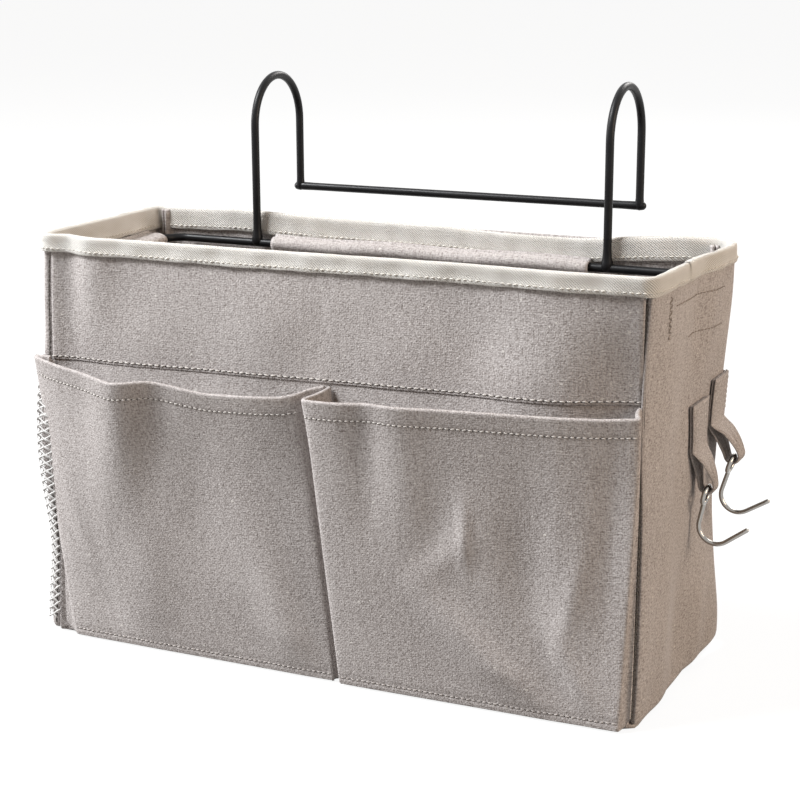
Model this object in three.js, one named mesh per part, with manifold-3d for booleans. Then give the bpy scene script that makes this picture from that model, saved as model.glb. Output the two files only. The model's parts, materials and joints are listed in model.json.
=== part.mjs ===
// A canvas bedside caddy: a soft box with two front pockets, a net side pocket and two key hooks,
// hung from a bed rail by a bent steel wire frame that sits in sleeves inside the rim.
// Millimetres. +X is to the right as seen from the front, +Y to the back, +Z up.
// The origin is the middle of the underside.
import * as THREE from 'three';
import { mergeGeometries, mergeVertices } from 'three/addons/utils/BufferGeometryUtils.js';
import Module from 'manifold-3d';

const wasm = await Module();
wasm.setup();

// Canvas box
const BODY_WIDTH = 336;
const BODY_DEPTH = 125;
const BODY_HEIGHT = 220;
const PANEL = 2.2;
const CORNER = 8;
const SEAM = 0.3;
const YOKE_HEM = 153;
const YOKE_LAP = 6;
const BOARD = 2.5;
const BOARD_MARGIN = 1;

// Binding tape folded over the rim
const TAPE = 1.2;
const TAPE_DROP = 12;

// Front pockets
const POCKET_CLOTH = 1.6;
const POCKET_FOOT = 5;
const POCKET_MOUTH = 150;
const HEM = 9;
const HEM_EXTRA = 0.8;
const POCKET_PARTING = 2;
const POCKET_SEAM_INSET = 2;
const GUSSET_FOOT = 2.2;
const GUSSET_FOLD = 4;
const SWELL_FOOT = 0.6;
const SWELL_POWER = 1.4;
const LEFT_POCKET_SPREAD = 6;
const LEFT_POCKET_TUCK = 12;
const LEFT_POCKET_GAPE = 13;
const LEFT_POCKET_INNER_GAPE = 9;
const LEFT_POCKET_SWELL = 11;
const RIGHT_POCKET_LAP = 5;
const RIGHT_POCKET_TUCK = 1;
const RIGHT_POCKET_GAPE = 13;
const RIGHT_POCKET_OUTER_GAPE = 5;
const RIGHT_POCKET_SWELL = 5;
const FACE_ROWS = 6;
const FACE_COLUMNS = 13;

// Net pocket on the left side
const NET_THICKNESS = 1;
const NET_LENGTH = 100;
const NET_FOOT = 8;
const NET_MOUTH = 152;
const NET_DEPTH = 9;
const NET_SPLAY = 6;
const NET_CELL = 9;
const NET_STRAND = 2.2;
const BAND_HEIGHT = 10;
const BAND_CLOTH = 1.6;

// Wire frame
const WIRE = 4.5;
const BAR_BELOW_RIM = 19;
const BEND = 12;
const ARM_REACH = 88;
const HOOK_SPACING = 210;
const RAIL_SPAN = 54;
const HOOK_RISE = 74;
const CROSS_BAR_ABOVE_RIM = 7;
const WELD_FLARE = 1.2;
const WELD_HEIGHT = 7;

// Sleeves that hold the wire frame
const SLEEVE_CLOTH = 1;
const SLEEVE_ABOVE_BAR = 4;
const SLEEVE_BELOW_BAR = 20;
const BACK_SLEEVE_LENGTH = 190;
const SIDE_SLEEVE_LENGTH = 78;

// Strap tabs on the right side
const STRAP = 1.3;
const STRAP_WIDTH = 26;
const FRONT_TAB_TOP = 146;
const REAR_TAB_TOP = 152;
const TAB_STITCHED = 23;
const LOOP_DROP = 20;
const LOOP_HOLE = 3.2;
const LOOP_NECK = 7;
const LOOP_TAPER = 14;
const FRONT_TAB_Y = 13;
const REAR_TAB_Y = 47;
const FRONT_TAB_LIFT = 8;
const REAR_TAB_LIFT = 20;

// Key hooks
const HOOK_WIRE = 2.4;
const EYE_HALF_WIDTH = 5.5;
const EYE_HALF_HEIGHT = 4.5;
const SHANK = 10.5;
const HOOK_BEND = 9;
const HOOK_SWEEP = 138;
const HOOK_TIP = 13;
const EYE_PLAY = 0.7;
const FRONT_HOOK_LEAN = 12;
const REAR_HOOK_LEAN = 17;

// Where the pieces meet, from the sizes above
const HALF_WIDTH = BODY_WIDTH / 2;
const HALF_DEPTH = BODY_DEPTH / 2;
const STRAIGHT_X = HALF_WIDTH - CORNER;
const STRAIGHT_Y = HALF_DEPTH - CORNER;
const WALL_FOOT = PANEL + SEAM;
const WALL_TOP = BODY_HEIGHT - TAPE - SEAM;
const LOWER_FACE = -HALF_DEPTH + PANEL + SEAM;
const TAPE_INSET = PANEL + SEAM + TAPE;
const BAR_Y = HALF_DEPTH - TAPE_INSET - SEAM - WIRE / 2;
const ARM_X = HALF_WIDTH - TAPE_INSET - SEAM - WIRE / 2;
const BAR_Z = BODY_HEIGHT - BAR_BELOW_RIM;
const SLEEVE_TOP = BAR_Z + SLEEVE_ABOVE_BAR;
const SLEEVE_FOOT = BAR_Z - SLEEVE_BELOW_BAR;
const CROSS_BAR_Z = BODY_HEIGHT + CROSS_BAR_ABOVE_RIM;
const CROSS_BAR_Y = BAR_Y + RAIL_SPAN;
const LOOP_OUTER = LOOP_HOLE + STRAP;
const LOOP_MIDDLE = LOOP_OUTER - STRAP;
const WELD_RADIUS = WIRE / 2 + WELD_FLARE;

// Finishes
const canvas = new THREE.MeshStandardMaterial({ color: 0xa89d96, roughness: 0.95, metalness: 0 });
const cream = new THREE.MeshStandardMaterial({ color: 0xd7d2c7, roughness: 0.9, metalness: 0 });
const netting = new THREE.MeshStandardMaterial({ color: 0xe6e5e2, roughness: 0.8, metalness: 0 });
const board = new THREE.MeshStandardMaterial({ color: 0x6f6a66, roughness: 0.9, metalness: 0 });
const blackCoat = new THREE.MeshStandardMaterial({ color: 0x17181a, roughness: 0.45, metalness: 0.2 });
const nickel = new THREE.MeshStandardMaterial({ color: 0xb9b4ac, roughness: 0.25, metalness: 1 });

const degrees = THREE.MathUtils.degToRad;
const mix = THREE.MathUtils.lerp;
const caddy = new THREE.Group();

function piece(name, geometry, material, parent = caddy) {
  const mesh = new THREE.Mesh(geometry, material);
  mesh.name = name;
  parent.add(mesh);
  return mesh;
}

// Boolean joins and cuts
function toSolid(geometry) {
  const bare = geometry.index ? geometry.toNonIndexed() : geometry.clone();
  bare.deleteAttribute('normal');
  bare.deleteAttribute('uv');
  const merged = mergeVertices(bare, 1e-4);
  const triVerts = new Uint32Array(merged.index.array);
  const vertProperties = merged.attributes.position.array;
  return new wasm.Manifold(new wasm.Mesh({ numProp: 3, vertProperties, triVerts }));
}

function toGeometry(solid) {
  const mesh = solid.getMesh();
  const geometry = new THREE.BufferGeometry();
  geometry.setAttribute('position', new THREE.BufferAttribute(mesh.vertProperties, 3));
  geometry.setIndex(new THREE.BufferAttribute(mesh.triVerts, 1));
  return geometry;
}

function geometryOf(points, triangles) {
  const geometry = new THREE.BufferGeometry().setFromPoints(points);
  geometry.setIndex(triangles);
  return geometry;
}

// A closed sheet of cloth between two grids of points, rows of [outer, inner] pairs
function sheet(outer, inner) {
  const rows = outer.length;
  const columns = outer[0].length;
  const points = [...outer.flat(), ...inner.flat()];
  const triangles = [];
  const out = (r, c) => r * columns + c;
  const back = (r, c) => rows * columns + r * columns + c;
  const quad = (a, b, c, d) => triangles.push(a, b, c, a, c, d);
  for (let r = 0; r < rows - 1; r++) {
    for (let c = 0; c < columns - 1; c++) {
      quad(out(r, c), out(r, c + 1), out(r + 1, c + 1), out(r + 1, c));
      quad(back(r, c), back(r + 1, c), back(r + 1, c + 1), back(r, c + 1));
    }
    quad(out(r, 0), out(r + 1, 0), back(r + 1, 0), back(r, 0));
    quad(out(r, columns - 1), back(r, columns - 1), back(r + 1, columns - 1), out(r + 1, columns - 1));
  }
  for (let c = 0; c < columns - 1; c++) {
    quad(out(0, c), back(0, c), back(0, c + 1), out(0, c + 1));
    quad(out(rows - 1, c), out(rows - 1, c + 1), back(rows - 1, c + 1), back(rows - 1, c));
  }
  return geometryOf(points, triangles);
}

// A ring made by carrying a closed profile round a closed plan outline
function carriedRing(profile, outline) {
  const points = outline.flatMap(({ x, y, nx, ny }) =>
    profile.map(({ out, z }) => new THREE.Vector3(x + nx * out, y + ny * out, z)));
  const triangles = [];
  const stations = outline.length;
  const count = profile.length;
  const at = (s, p) => (s % stations) * count + (p % count);
  for (let s = 0; s < stations; s++) {
    for (let p = 0; p < count; p++) {
      triangles.push(at(s, p), at(s + 1, p), at(s + 1, p + 1));
      triangles.push(at(s, p), at(s + 1, p + 1), at(s, p + 1));
    }
  }
  return geometryOf(points, triangles);
}

// A path of straight runs and bends that keeps its stations where they were set
class BentPath extends THREE.Curve {
  constructor(stations) {
    super();
    this.stations = stations;
  }

  getPoint(t) {
    const last = this.stations.length - 1;
    const place = THREE.MathUtils.clamp(t, 0, 1) * last;
    const from = Math.min(Math.floor(place), last - 1);
    return this.stations[from].clone().lerp(this.stations[from + 1], place - from);
  }

  getPointAt(u) {
    return this.getPoint(u);
  }

  getTangentAt(u) {
    return this.getTangent(u);
  }
}

function wireAlong(stations, diameter, sides) {
  const section = new THREE.Shape();
  for (let i = 0; i < sides; i++) {
    const turn = (2 * Math.PI * i) / sides;
    const corner = new THREE.Vector2(Math.cos(turn), Math.sin(turn)).multiplyScalar(diameter / 2);
    if (i === 0) section.moveTo(corner.x, corner.y);
    else section.lineTo(corner.x, corner.y);
  }
  const extrudePath = new BentPath(stations);
  return new THREE.ExtrudeGeometry(section, { steps: stations.length - 1, extrudePath, bevelEnabled: false });
}

// Points on a bend, from one angle to another, in the plane of two directions
function bend(centre, radius, from, to, steps, along, up) {
  return Array.from({ length: steps + 1 }, (_, i) => {
    const turn = degrees(mix(from, to, i / steps));
    return centre.clone()
      .addScaledVector(along, radius * Math.cos(turn))
      .addScaledVector(up, radius * Math.sin(turn));
  });
}

const AXIS_X = new THREE.Vector3(1, 0, 0);
const AXIS_Y = new THREE.Vector3(0, 1, 0);
const AXIS_Z = new THREE.Vector3(0, 0, 1);
const point = (x, y, z) => new THREE.Vector3(x, y, z);

// Plan outlines
function roundedPlan(inset) {
  const x = HALF_WIDTH - inset;
  const y = HALF_DEPTH - inset;
  const radius = CORNER - Math.min(inset, CORNER / 2);
  const plan = new THREE.Shape();
  plan.moveTo(-x + radius, -y);
  plan.lineTo(x - radius, -y);
  plan.absarc(x - radius, -y + radius, radius, -Math.PI / 2, 0);
  plan.lineTo(x, y - radius);
  plan.absarc(x - radius, y - radius, radius, 0, Math.PI / 2);
  plan.lineTo(-x + radius, y);
  plan.absarc(-x + radius, y - radius, radius, Math.PI / 2, Math.PI);
  plan.lineTo(-x, -y + radius);
  plan.absarc(-x + radius, -y + radius, radius, Math.PI, 1.5 * Math.PI);
  return plan;
}

// Upright wall with a given plan, from one height to another
function upright(plan, foot, top, curveSegments = 6) {
  const geometry = new THREE.ExtrudeGeometry(plan, { depth: top - foot, bevelEnabled: false, curveSegments });
  return geometry.translate(0, 0, foot);
}

function straightPlan(x0, y0, x1, y1) {
  const plan = new THREE.Shape();
  plan.moveTo(x0, y0);
  plan.lineTo(x1, y0);
  plan.lineTo(x1, y1);
  plan.lineTo(x0, y1);
  return plan;
}

// Bottom: a canvas panel with a stiff board lying on it
function addBottom() {
  piece('bottom_panel', upright(roundedPlan(0), 0, PANEL), canvas);
  const boardFoot = PANEL + SEAM;
  const boardPlan = roundedPlan(2 * PANEL + BOARD_MARGIN);
  piece('base_board', upright(boardPlan, boardFoot, boardFoot + BOARD), board);
}

// Front: a yoke lapped over the lower panel, with the seam along the pocket mouths
function addFront() {
  const end = STRAIGHT_X - SEAM;
  const yokePlan = straightPlan(-end, -HALF_DEPTH, end, -HALF_DEPTH + PANEL);
  piece('front_yoke', upright(yokePlan, YOKE_HEM, WALL_TOP), canvas);
  const lowerPlan = straightPlan(-STRAIGHT_X, LOWER_FACE, STRAIGHT_X, LOWER_FACE + PANEL);
  piece('front_lower_panel', upright(lowerPlan, WALL_FOOT, YOKE_HEM + YOKE_LAP), canvas);
}

function addBack() {
  const end = STRAIGHT_X - SEAM;
  const plan = straightPlan(-end, HALF_DEPTH - PANEL, end, HALF_DEPTH);
  piece('back_panel', upright(plan, WALL_FOOT, WALL_TOP), canvas);
}

// Sides: each panel turns the corners and is sewn to the front and the back there
function addSide(name, side) {
  const inner = CORNER - PANEL;
  const plan = new THREE.Shape();
  plan.moveTo(STRAIGHT_X, -HALF_DEPTH);
  plan.absarc(STRAIGHT_X, -STRAIGHT_Y, CORNER, -Math.PI / 2, 0);
  plan.absarc(STRAIGHT_X, STRAIGHT_Y, CORNER, 0, Math.PI / 2);
  plan.absarc(STRAIGHT_X, STRAIGHT_Y, inner, Math.PI / 2, 0, true);
  plan.absarc(STRAIGHT_X, -STRAIGHT_Y, inner, 0, -Math.PI / 2, true);
  const panel = piece(name, upright(plan, WALL_FOOT, WALL_TOP), canvas);
  if (side < 0) panel.rotation.z = Math.PI;
}

// Binding: one tape folded over the whole rim, outer and inner leg
function addBinding() {
  const outFace = SEAM + TAPE;
  const inFace = -TAPE_INSET;
  const middle = (outFace + inFace) / 2;
  const half = (outFace - inFace) / 2;
  const low = BODY_HEIGHT - TAPE_DROP;
  const shoulder = BODY_HEIGHT - TAPE;
  const fold = [0, 45, 90, 135, 180].map((turn) => ({
    out: middle + half * Math.cos(degrees(turn)),
    z: shoulder + TAPE * Math.sin(degrees(turn)),
  }));
  const profile = [
    { out: outFace, z: low },
    ...fold,
    { out: inFace, z: low },
    { out: inFace + TAPE, z: low },
    { out: inFace + TAPE, z: WALL_TOP + SEAM / 2 },
    { out: SEAM, z: WALL_TOP + SEAM / 2 },
    { out: SEAM, z: low },
  ];
  const corners = [[1, -1, -90], [1, 1, 0], [-1, 1, 90], [-1, -1, 180]];
  const turns = [0, 30, 60, 90];
  const outline = corners.flatMap(([sx, sy, start]) => turns.map((turn) => {
    const angle = degrees(start + turn);
    const nx = Math.cos(angle);
    const ny = Math.sin(angle);
    return { x: sx * STRAIGHT_X + CORNER * nx, y: sy * STRAIGHT_Y + CORNER * ny, nx, ny };
  }));
  piece('rim_binding', carriedRing(profile, outline), cream);
}

// Front pocket: a cloth face on folded gussets, sewn flat at the foot and gaping at its hemmed mouth.
// Each shape value runs from the foot to the mouth.
function addFrontPocket(name, shape) {
  const seat = LOWER_FACE - SEAM;
  const hemFoot = POCKET_MOUTH - HEM;
  const rows = Array.from({ length: FACE_ROWS + 1 }, (_, i) => mix(POCKET_FOOT, hemFoot, i / FACE_ROWS));
  const heights = [...rows, hemFoot + HEM_EXTRA, POCKET_MOUTH];
  const outer = [];
  const inner = [];
  for (const z of heights) {
    const rise = (z - POCKET_FOOT) / (POCKET_MOUTH - POCKET_FOOT);
    const cloth = POCKET_CLOTH + (z > hemFoot ? HEM_EXTRA : 0);
    const between = ([foot, mouth], power = 1) => mix(foot, mouth, rise ** power);
    const leftEdge = between(shape.leftEdge);
    const rightEdge = between(shape.rightEdge);
    const leftDepth = between(shape.leftDepth);
    const rightDepth = between(shape.rightDepth);
    const swell = between(shape.swell, SWELL_POWER);
    const face = Array.from({ length: FACE_COLUMNS }, (_, i) => {
      const s = i / (FACE_COLUMNS - 1);
      const depth = mix(leftDepth, rightDepth, s) + swell * Math.sin(Math.PI * s);
      return new THREE.Vector2(mix(leftEdge, rightEdge, s), seat - depth);
    });
    const line = [new THREE.Vector2(shape.leftSeam, seat), ...face, new THREE.Vector2(shape.rightSeam, seat)];
    outer.push(line.map((p) => point(p.x, p.y, z)));
    inner.push(insideLine(line, cloth, seat).map((p) => point(p.x, p.y, z)));
  }
  piece(name, sheet(outer, inner), canvas);
}

// A plan line moved towards the box by the cloth's thickness, its ends kept on the seat
function insideLine(line, cloth, seat) {
  const last = line.length - 1;
  return line.map((p, i) => {
    const before = line[Math.max(i - 1, 0)];
    const after = line[Math.min(i + 1, last)];
    const normal = new THREE.Vector2(before.y - after.y, after.x - before.x).normalize();
    const moved = p.clone().addScaledVector(normal, cloth);
    if (i === 0) moved.set(p.x + cloth, seat);
    if (i === last) moved.set(p.x - cloth, seat);
    moved.y = Math.min(moved.y, seat);
    return moved;
  });
}

function addFrontPockets() {
  const middle = POCKET_PARTING / 2;
  const outside = STRAIGHT_X - POCKET_SEAM_INSET;
  addFrontPocket('left_front_pocket', {
    leftSeam: -outside,
    rightSeam: -middle,
    leftEdge: [-outside + GUSSET_FOLD, -outside - LEFT_POCKET_SPREAD],
    rightEdge: [-middle - GUSSET_FOLD, -middle - LEFT_POCKET_TUCK],
    leftDepth: [GUSSET_FOOT, LEFT_POCKET_GAPE],
    rightDepth: [GUSSET_FOOT, LEFT_POCKET_INNER_GAPE],
    swell: [SWELL_FOOT, LEFT_POCKET_SWELL],
  });
  addFrontPocket('right_front_pocket', {
    leftSeam: middle,
    rightSeam: outside,
    leftEdge: [middle + GUSSET_FOLD, middle - RIGHT_POCKET_LAP],
    rightEdge: [outside - GUSSET_FOLD, outside - RIGHT_POCKET_TUCK],
    leftDepth: [GUSSET_FOOT, RIGHT_POCKET_GAPE],
    rightDepth: [GUSSET_FOOT, RIGHT_POCKET_OUTER_GAPE],
    swell: [SWELL_FOOT, RIGHT_POCKET_SWELL],
  });
}

// A flat net cut to a three-sided or four-sided outline. gapsIn gives the middle and half width of
// each open diamond between the strands, in the plane of the net, from the outline's corners.
function netSheet(corners, gapsIn) {
  const [origin, second] = corners;
  const last = corners[corners.length - 1];
  const along = second.clone().sub(origin).normalize();
  const normal = along.clone().cross(last.clone().sub(origin)).normalize();
  const up = normal.clone().cross(along);
  const flat = corners.map((corner) => {
    const offset = corner.clone().sub(origin);
    return new THREE.Vector2(offset.dot(along), offset.dot(up));
  });
  const diamond = new THREE.Shape().absarc(0, 0, 1, 0, 2 * Math.PI);
  const cut = { depth: 3 * NET_THICKNESS, bevelEnabled: false, curveSegments: 2 };
  const gaps = gapsIn(flat).map(({ middle, half }) =>
    new THREE.ExtrudeGeometry(diamond, cut).scale(half, half, 1).translate(middle.x, middle.y, -NET_THICKNESS));
  const cloth = new THREE.ExtrudeGeometry(new THREE.Shape(flat), { depth: NET_THICKNESS, bevelEnabled: false });
  const net = toGeometry(toSolid(cloth).subtract(toSolid(mergeGeometries(gaps))));
  return net.applyMatrix4(new THREE.Matrix4().makeBasis(along, up, normal).setPosition(origin));
}

// Diamonds in staggered rows over the whole outline, clear of its edges
function staggeredGaps(flat) {
  const half = (NET_CELL - NET_STRAND) / 2;
  const margin = half + NET_STRAND / 2;
  const width = flat[1].x;
  const height = flat[2].y;
  const columns = Math.ceil(width / NET_CELL);
  const rows = Math.floor(2 * height / NET_CELL);
  const inside = (spot) => flat.every((corner, i) => {
    const edge = flat[(i + 1) % flat.length].clone().sub(corner).normalize();
    return edge.cross(spot.clone().sub(corner)) > margin;
  });
  const spots = Array.from({ length: rows * columns }, (_, i) => {
    const row = Math.floor(i / columns);
    const column = i % columns;
    const x = width / 2 + (column - (columns - 1) / 2 + (row % 2) / 2) * NET_CELL;
    return new THREE.Vector2(x, (row + 1) * NET_CELL / 2);
  });
  return spots.filter(inside).map((middle) => ({ middle, half }));
}

// One row of diamonds up the middle of a wedge, widening with it
function wedgeGaps(flat) {
  const mouth = flat[1].clone().add(flat[2]).divideScalar(2);
  const halfMouth = flat[1].distanceTo(flat[2]) / 2;
  const spots = [];
  let along = mouth.length() - NET_CELL / 2 - NET_STRAND;
  let half = NET_CELL / 2;
  while (half > NET_STRAND) {
    half = Math.min((NET_CELL - NET_STRAND) / 2, halfMouth * along / mouth.length() - NET_STRAND);
    if (half > NET_STRAND / 2) spots.push({ middle: mouth.clone().setLength(along), half });
    along -= 2 * half + NET_STRAND;
  }
  return spots;
}

// Net pocket: a sloping net with a wedge of net at each end, under a cloth band at the mouth
function addNetPocket() {
  const wall = -HALF_WIDTH - SEAM;
  const netTop = NET_MOUTH - BAND_HEIGHT - SEAM;
  const rise = (z) => (z - NET_FOOT) / (netTop - NET_FOOT);
  const face = (z) => wall - NET_DEPTH * rise(z);
  const end = (z) => NET_LENGTH / 2 - NET_SPLAY * rise(z);
  const foot = NET_FOOT;
  const panel = [
    point(face(foot), end(foot), foot),
    point(face(foot), -end(foot), foot),
    point(face(netTop), -end(netTop), netTop),
    point(face(netTop), end(netTop), netTop),
  ];
  piece('net_panel', netSheet(panel, staggeredGaps), netting);
  const gap = SEAM + NET_THICKNESS;
  for (const [name, way] of [['net_front_wedge', -1], ['net_rear_wedge', 1]]) {
    const low = point(wall, way * (end(foot) + gap), foot + NET_CELL);
    const atWall = point(wall, way * (end(foot) + NET_SPLAY), netTop);
    const atFace = point(face(netTop) + gap, way * (end(netTop) + gap), netTop);
    const corners = way < 0 ? [low, atWall, atFace] : [low, atFace, atWall];
    piece(name, netSheet(corners, wedgeGaps), netting);
  }
  const out = face(netTop);
  const wide = end(foot) + NET_SPLAY;
  const narrow = end(netTop);
  const band = new THREE.Shape([
    new THREE.Vector2(wall, -wide),
    new THREE.Vector2(wall, -wide + BAND_CLOTH),
    new THREE.Vector2(out, -narrow + BAND_CLOTH),
    new THREE.Vector2(out, narrow - BAND_CLOTH),
    new THREE.Vector2(wall, wide - BAND_CLOTH),
    new THREE.Vector2(wall, wide),
    new THREE.Vector2(out - BAND_CLOTH, narrow),
    new THREE.Vector2(out - BAND_CLOTH, -narrow),
  ]);
  piece('net_mouth_band', upright(band, netTop + SEAM, NET_MOUTH), canvas);
}

// Rim wire: the bar along the back and an arm down each side, one bent wire
function addRimWire() {
  const armEnd = BAR_Y - ARM_REACH;
  const turn = BAR_Y - BEND;
  const left = bend(point(-ARM_X + BEND, turn, BAR_Z), BEND, 180, 90, 5, AXIS_X, AXIS_Y);
  const right = bend(point(ARM_X - BEND, turn, BAR_Z), BEND, 90, 0, 5, AXIS_X, AXIS_Y);
  const stations = [point(-ARM_X, armEnd, BAR_Z), ...left, ...right, point(ARM_X, armEnd, BAR_Z)];
  piece('rim_wire', wireAlong(stations, WIRE, 12), blackCoat);
}

// Sleeve section: a strip of cloth that bridges the wire, with a flat margin sewn to the wall above and below.
// Its first axis is the distance from the wall, its second the height.
function sleeveSection(wallToWire) {
  const over = WIRE / 2 + SEAM;
  const outer = over + SLEEVE_CLOTH;
  const section = new THREE.Shape();
  section.moveTo(0, SLEEVE_FOOT);
  section.lineTo(SLEEVE_CLOTH, SLEEVE_FOOT);
  section.lineTo(wallToWire + outer, BAR_Z - outer);
  section.absarc(wallToWire, BAR_Z, outer, 0, Math.PI / 2);
  section.lineTo(SLEEVE_CLOTH, BAR_Z + outer);
  section.lineTo(SLEEVE_CLOTH, SLEEVE_TOP);
  section.lineTo(0, SLEEVE_TOP);
  section.lineTo(0, BAR_Z + over);
  section.lineTo(wallToWire, BAR_Z + over);
  section.absarc(wallToWire, BAR_Z, over, Math.PI / 2, 0, true);
  section.lineTo(wallToWire + over, BAR_Z - outer);
  section.lineTo(0, SLEEVE_FOOT + 2 * SLEEVE_CLOTH);
  return section;
}

function addSleeve(name, wallToWire, length, place) {
  const geometry = new THREE.ExtrudeGeometry(sleeveSection(wallToWire), {
    depth: length, bevelEnabled: false, curveSegments: 4,
  });
  geometry.translate(0, 0, -length / 2);
  piece(name, geometry.applyMatrix4(place), canvas);
}

function addSleeves() {
  const backWall = HALF_DEPTH - PANEL - SEAM;
  const sideWall = HALF_WIDTH - PANEL - SEAM;
  const basis = (away, along) => new THREE.Matrix4().makeBasis(away, AXIS_Z, along);
  const backPlace = basis(point(0, -1, 0), point(-1, 0, 0)).setPosition(0, backWall, 0);
  addSleeve('back_sleeve', backWall - BAR_Y, BACK_SLEEVE_LENGTH, backPlace);
  const middle = BAR_Y - BEND - SIDE_SLEEVE_LENGTH / 2;
  const rightPlace = basis(point(-1, 0, 0), point(0, 1, 0)).setPosition(sideWall, middle, 0);
  const leftPlace = basis(point(1, 0, 0), point(0, -1, 0)).setPosition(-sideWall, middle, 0);
  addSleeve('right_sleeve', sideWall - ARM_X, SIDE_SLEEVE_LENGTH, rightPlace);
  addSleeve('left_sleeve', sideWall - ARM_X, SIDE_SLEEVE_LENGTH, leftPlace);
}

// Rail hook: a leg up from the bar, an arch over the rail and a shorter leg down to the cross bar.
// Both ends sit on the wires below in a flared weld.
function addRailHook(name, x) {
  const radius = RAIL_SPAN / 2;
  const archZ = BODY_HEIGHT + HOOK_RISE - radius;
  const arch = bend(point(x, BAR_Y + radius, archZ), radius, 180, 0, 14, AXIS_Y, AXIS_Z);
  const stations = [point(x, BAR_Y, BAR_Z), ...arch, point(x, CROSS_BAR_Y, CROSS_BAR_Z)];
  const weld = (y, z) => new THREE.CylinderGeometry(WIRE / 2, WELD_RADIUS, WELD_HEIGHT, 12)
    .rotateX(Math.PI / 2)
    .translate(x, y, z + WELD_HEIGHT / 2);
  const seatLength = 4 * WELD_RADIUS;
  const seat = (y, z) => new THREE.CylinderGeometry(WIRE / 2 + SEAM, WIRE / 2 + SEAM, seatLength, 16)
    .rotateZ(Math.PI / 2)
    .translate(x, y, z);
  const below = (y, z) => new THREE.BoxGeometry(seatLength, seatLength, seatLength)
    .translate(x, y, z - seatLength / 2);
  let hook = toSolid(wireAlong(stations, WIRE, 12));
  for (const [y, z] of [[BAR_Y, BAR_Z], [CROSS_BAR_Y, CROSS_BAR_Z]]) {
    hook = hook.add(toSolid(weld(y, z))).subtract(toSolid(seat(y, z))).subtract(toSolid(below(y, z)));
  }
  piece(name, toGeometry(hook), blackCoat);
}

function addHanger() {
  const x = HOOK_SPACING / 2;
  addRailHook('left_rail_hook', -x);
  addRailHook('right_rail_hook', x);
  const reach = x + WIRE / 2;
  const ends = [point(-reach, CROSS_BAR_Y, CROSS_BAR_Z), point(reach, CROSS_BAR_Y, CROSS_BAR_Z)];
  piece('cross_bar', wireAlong(ends, WIRE, 12), blackCoat);
}

// Loop of a strap tab, seen from its edge: two layers that part round the eye of the hook.
// Its origin is the line that it bends at below the stitching, and it hangs down from there.
function loopGeometry() {
  const front = 2 * LOOP_OUTER - STRAP;
  const parting = -4 * STRAP;
  const outline = new THREE.Shape();
  outline.moveTo(-STRAP, 0);
  outline.lineTo(-STRAP, -LOOP_DROP);
  outline.absarc(LOOP_MIDDLE, -LOOP_DROP, LOOP_OUTER, Math.PI, 2 * Math.PI);
  outline.quadraticCurveTo(front, -LOOP_DROP / 2, STRAP, 0);
  outline.absarc(0, 0, STRAP, 0, Math.PI);
  const hole = new THREE.Path();
  hole.moveTo(0, -LOOP_DROP);
  hole.absarc(LOOP_MIDDLE, -LOOP_DROP, LOOP_HOLE, Math.PI, 2 * Math.PI);
  hole.quadraticCurveTo(front - STRAP, -LOOP_DROP / 2, 0, parting);
  outline.holes.push(hole);
  const strap = new THREE.ExtrudeGeometry(outline, { depth: STRAP_WIDTH, bevelEnabled: false, curveSegments: 7 });
  strap.rotateX(Math.PI / 2).translate(0, STRAP_WIDTH / 2, 0);
  const low = -LOOP_DROP - 2 * LOOP_OUTER;
  const taperEnd = -LOOP_TAPER;
  const half = STRAP_WIDTH / 2;
  const neck = LOOP_NECK / 2;
  const pinched = new THREE.Shape([
    new THREE.Vector2(-half, 2 * STRAP),
    new THREE.Vector2(-half, 0),
    new THREE.Vector2(-neck, taperEnd),
    new THREE.Vector2(-neck, low),
    new THREE.Vector2(neck, low),
    new THREE.Vector2(neck, taperEnd),
    new THREE.Vector2(half, 0),
    new THREE.Vector2(half, 2 * STRAP),
  ]);
  const depth = 4 * LOOP_OUTER;
  const place = new THREE.Matrix4().makeBasis(AXIS_Y, AXIS_Z, AXIS_X).setPosition(-LOOP_OUTER, 0, 0);
  const block = new THREE.ExtrudeGeometry(pinched, { depth, bevelEnabled: false }).applyMatrix4(place);
  return toGeometry(toSolid(strap).intersect(toSolid(block)));
}

// Key hook: an oval eye round the neck of the strap, a shank and an open hook, one bent wire.
// Its origin is the top of the eye, which the strap carries.
function hookGeometry() {
  const oval = new THREE.EllipseCurve(0, 0, EYE_HALF_WIDTH, EYE_HALF_HEIGHT);
  const eyeStations = oval.getPoints(20).map((p) => point(0, p.x, p.y - EYE_HALF_HEIGHT));
  const eyePath = new THREE.CatmullRomCurve3(eyeStations.slice(0, -1), true);
  const eye = toSolid(new THREE.TubeGeometry(eyePath, 24, HOOK_WIRE / 2, 8, true));
  const eyeFoot = -2 * EYE_HALF_HEIGHT;
  const shankFoot = eyeFoot - SHANK;
  const sweep = bend(point(HOOK_BEND, 0, shankFoot), HOOK_BEND, 180, 180 + HOOK_SWEEP, 8, AXIS_X, AXIS_Z);
  const heading = degrees(HOOK_SWEEP - 90);
  const tip = sweep[sweep.length - 1].clone()
    .add(point(Math.cos(heading), 0, Math.sin(heading)).multiplyScalar(HOOK_TIP));
  const stations = [point(0, 0, eyeFoot), ...sweep, tip];
  const shank = toSolid(wireAlong(stations, HOOK_WIRE, 8));
  const ball = new THREE.SphereGeometry(HOOK_WIRE / 2, 8, 6).translate(tip.x, tip.y, tip.z);
  return toGeometry(eye.add(shank).add(toSolid(ball)));
}

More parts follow.
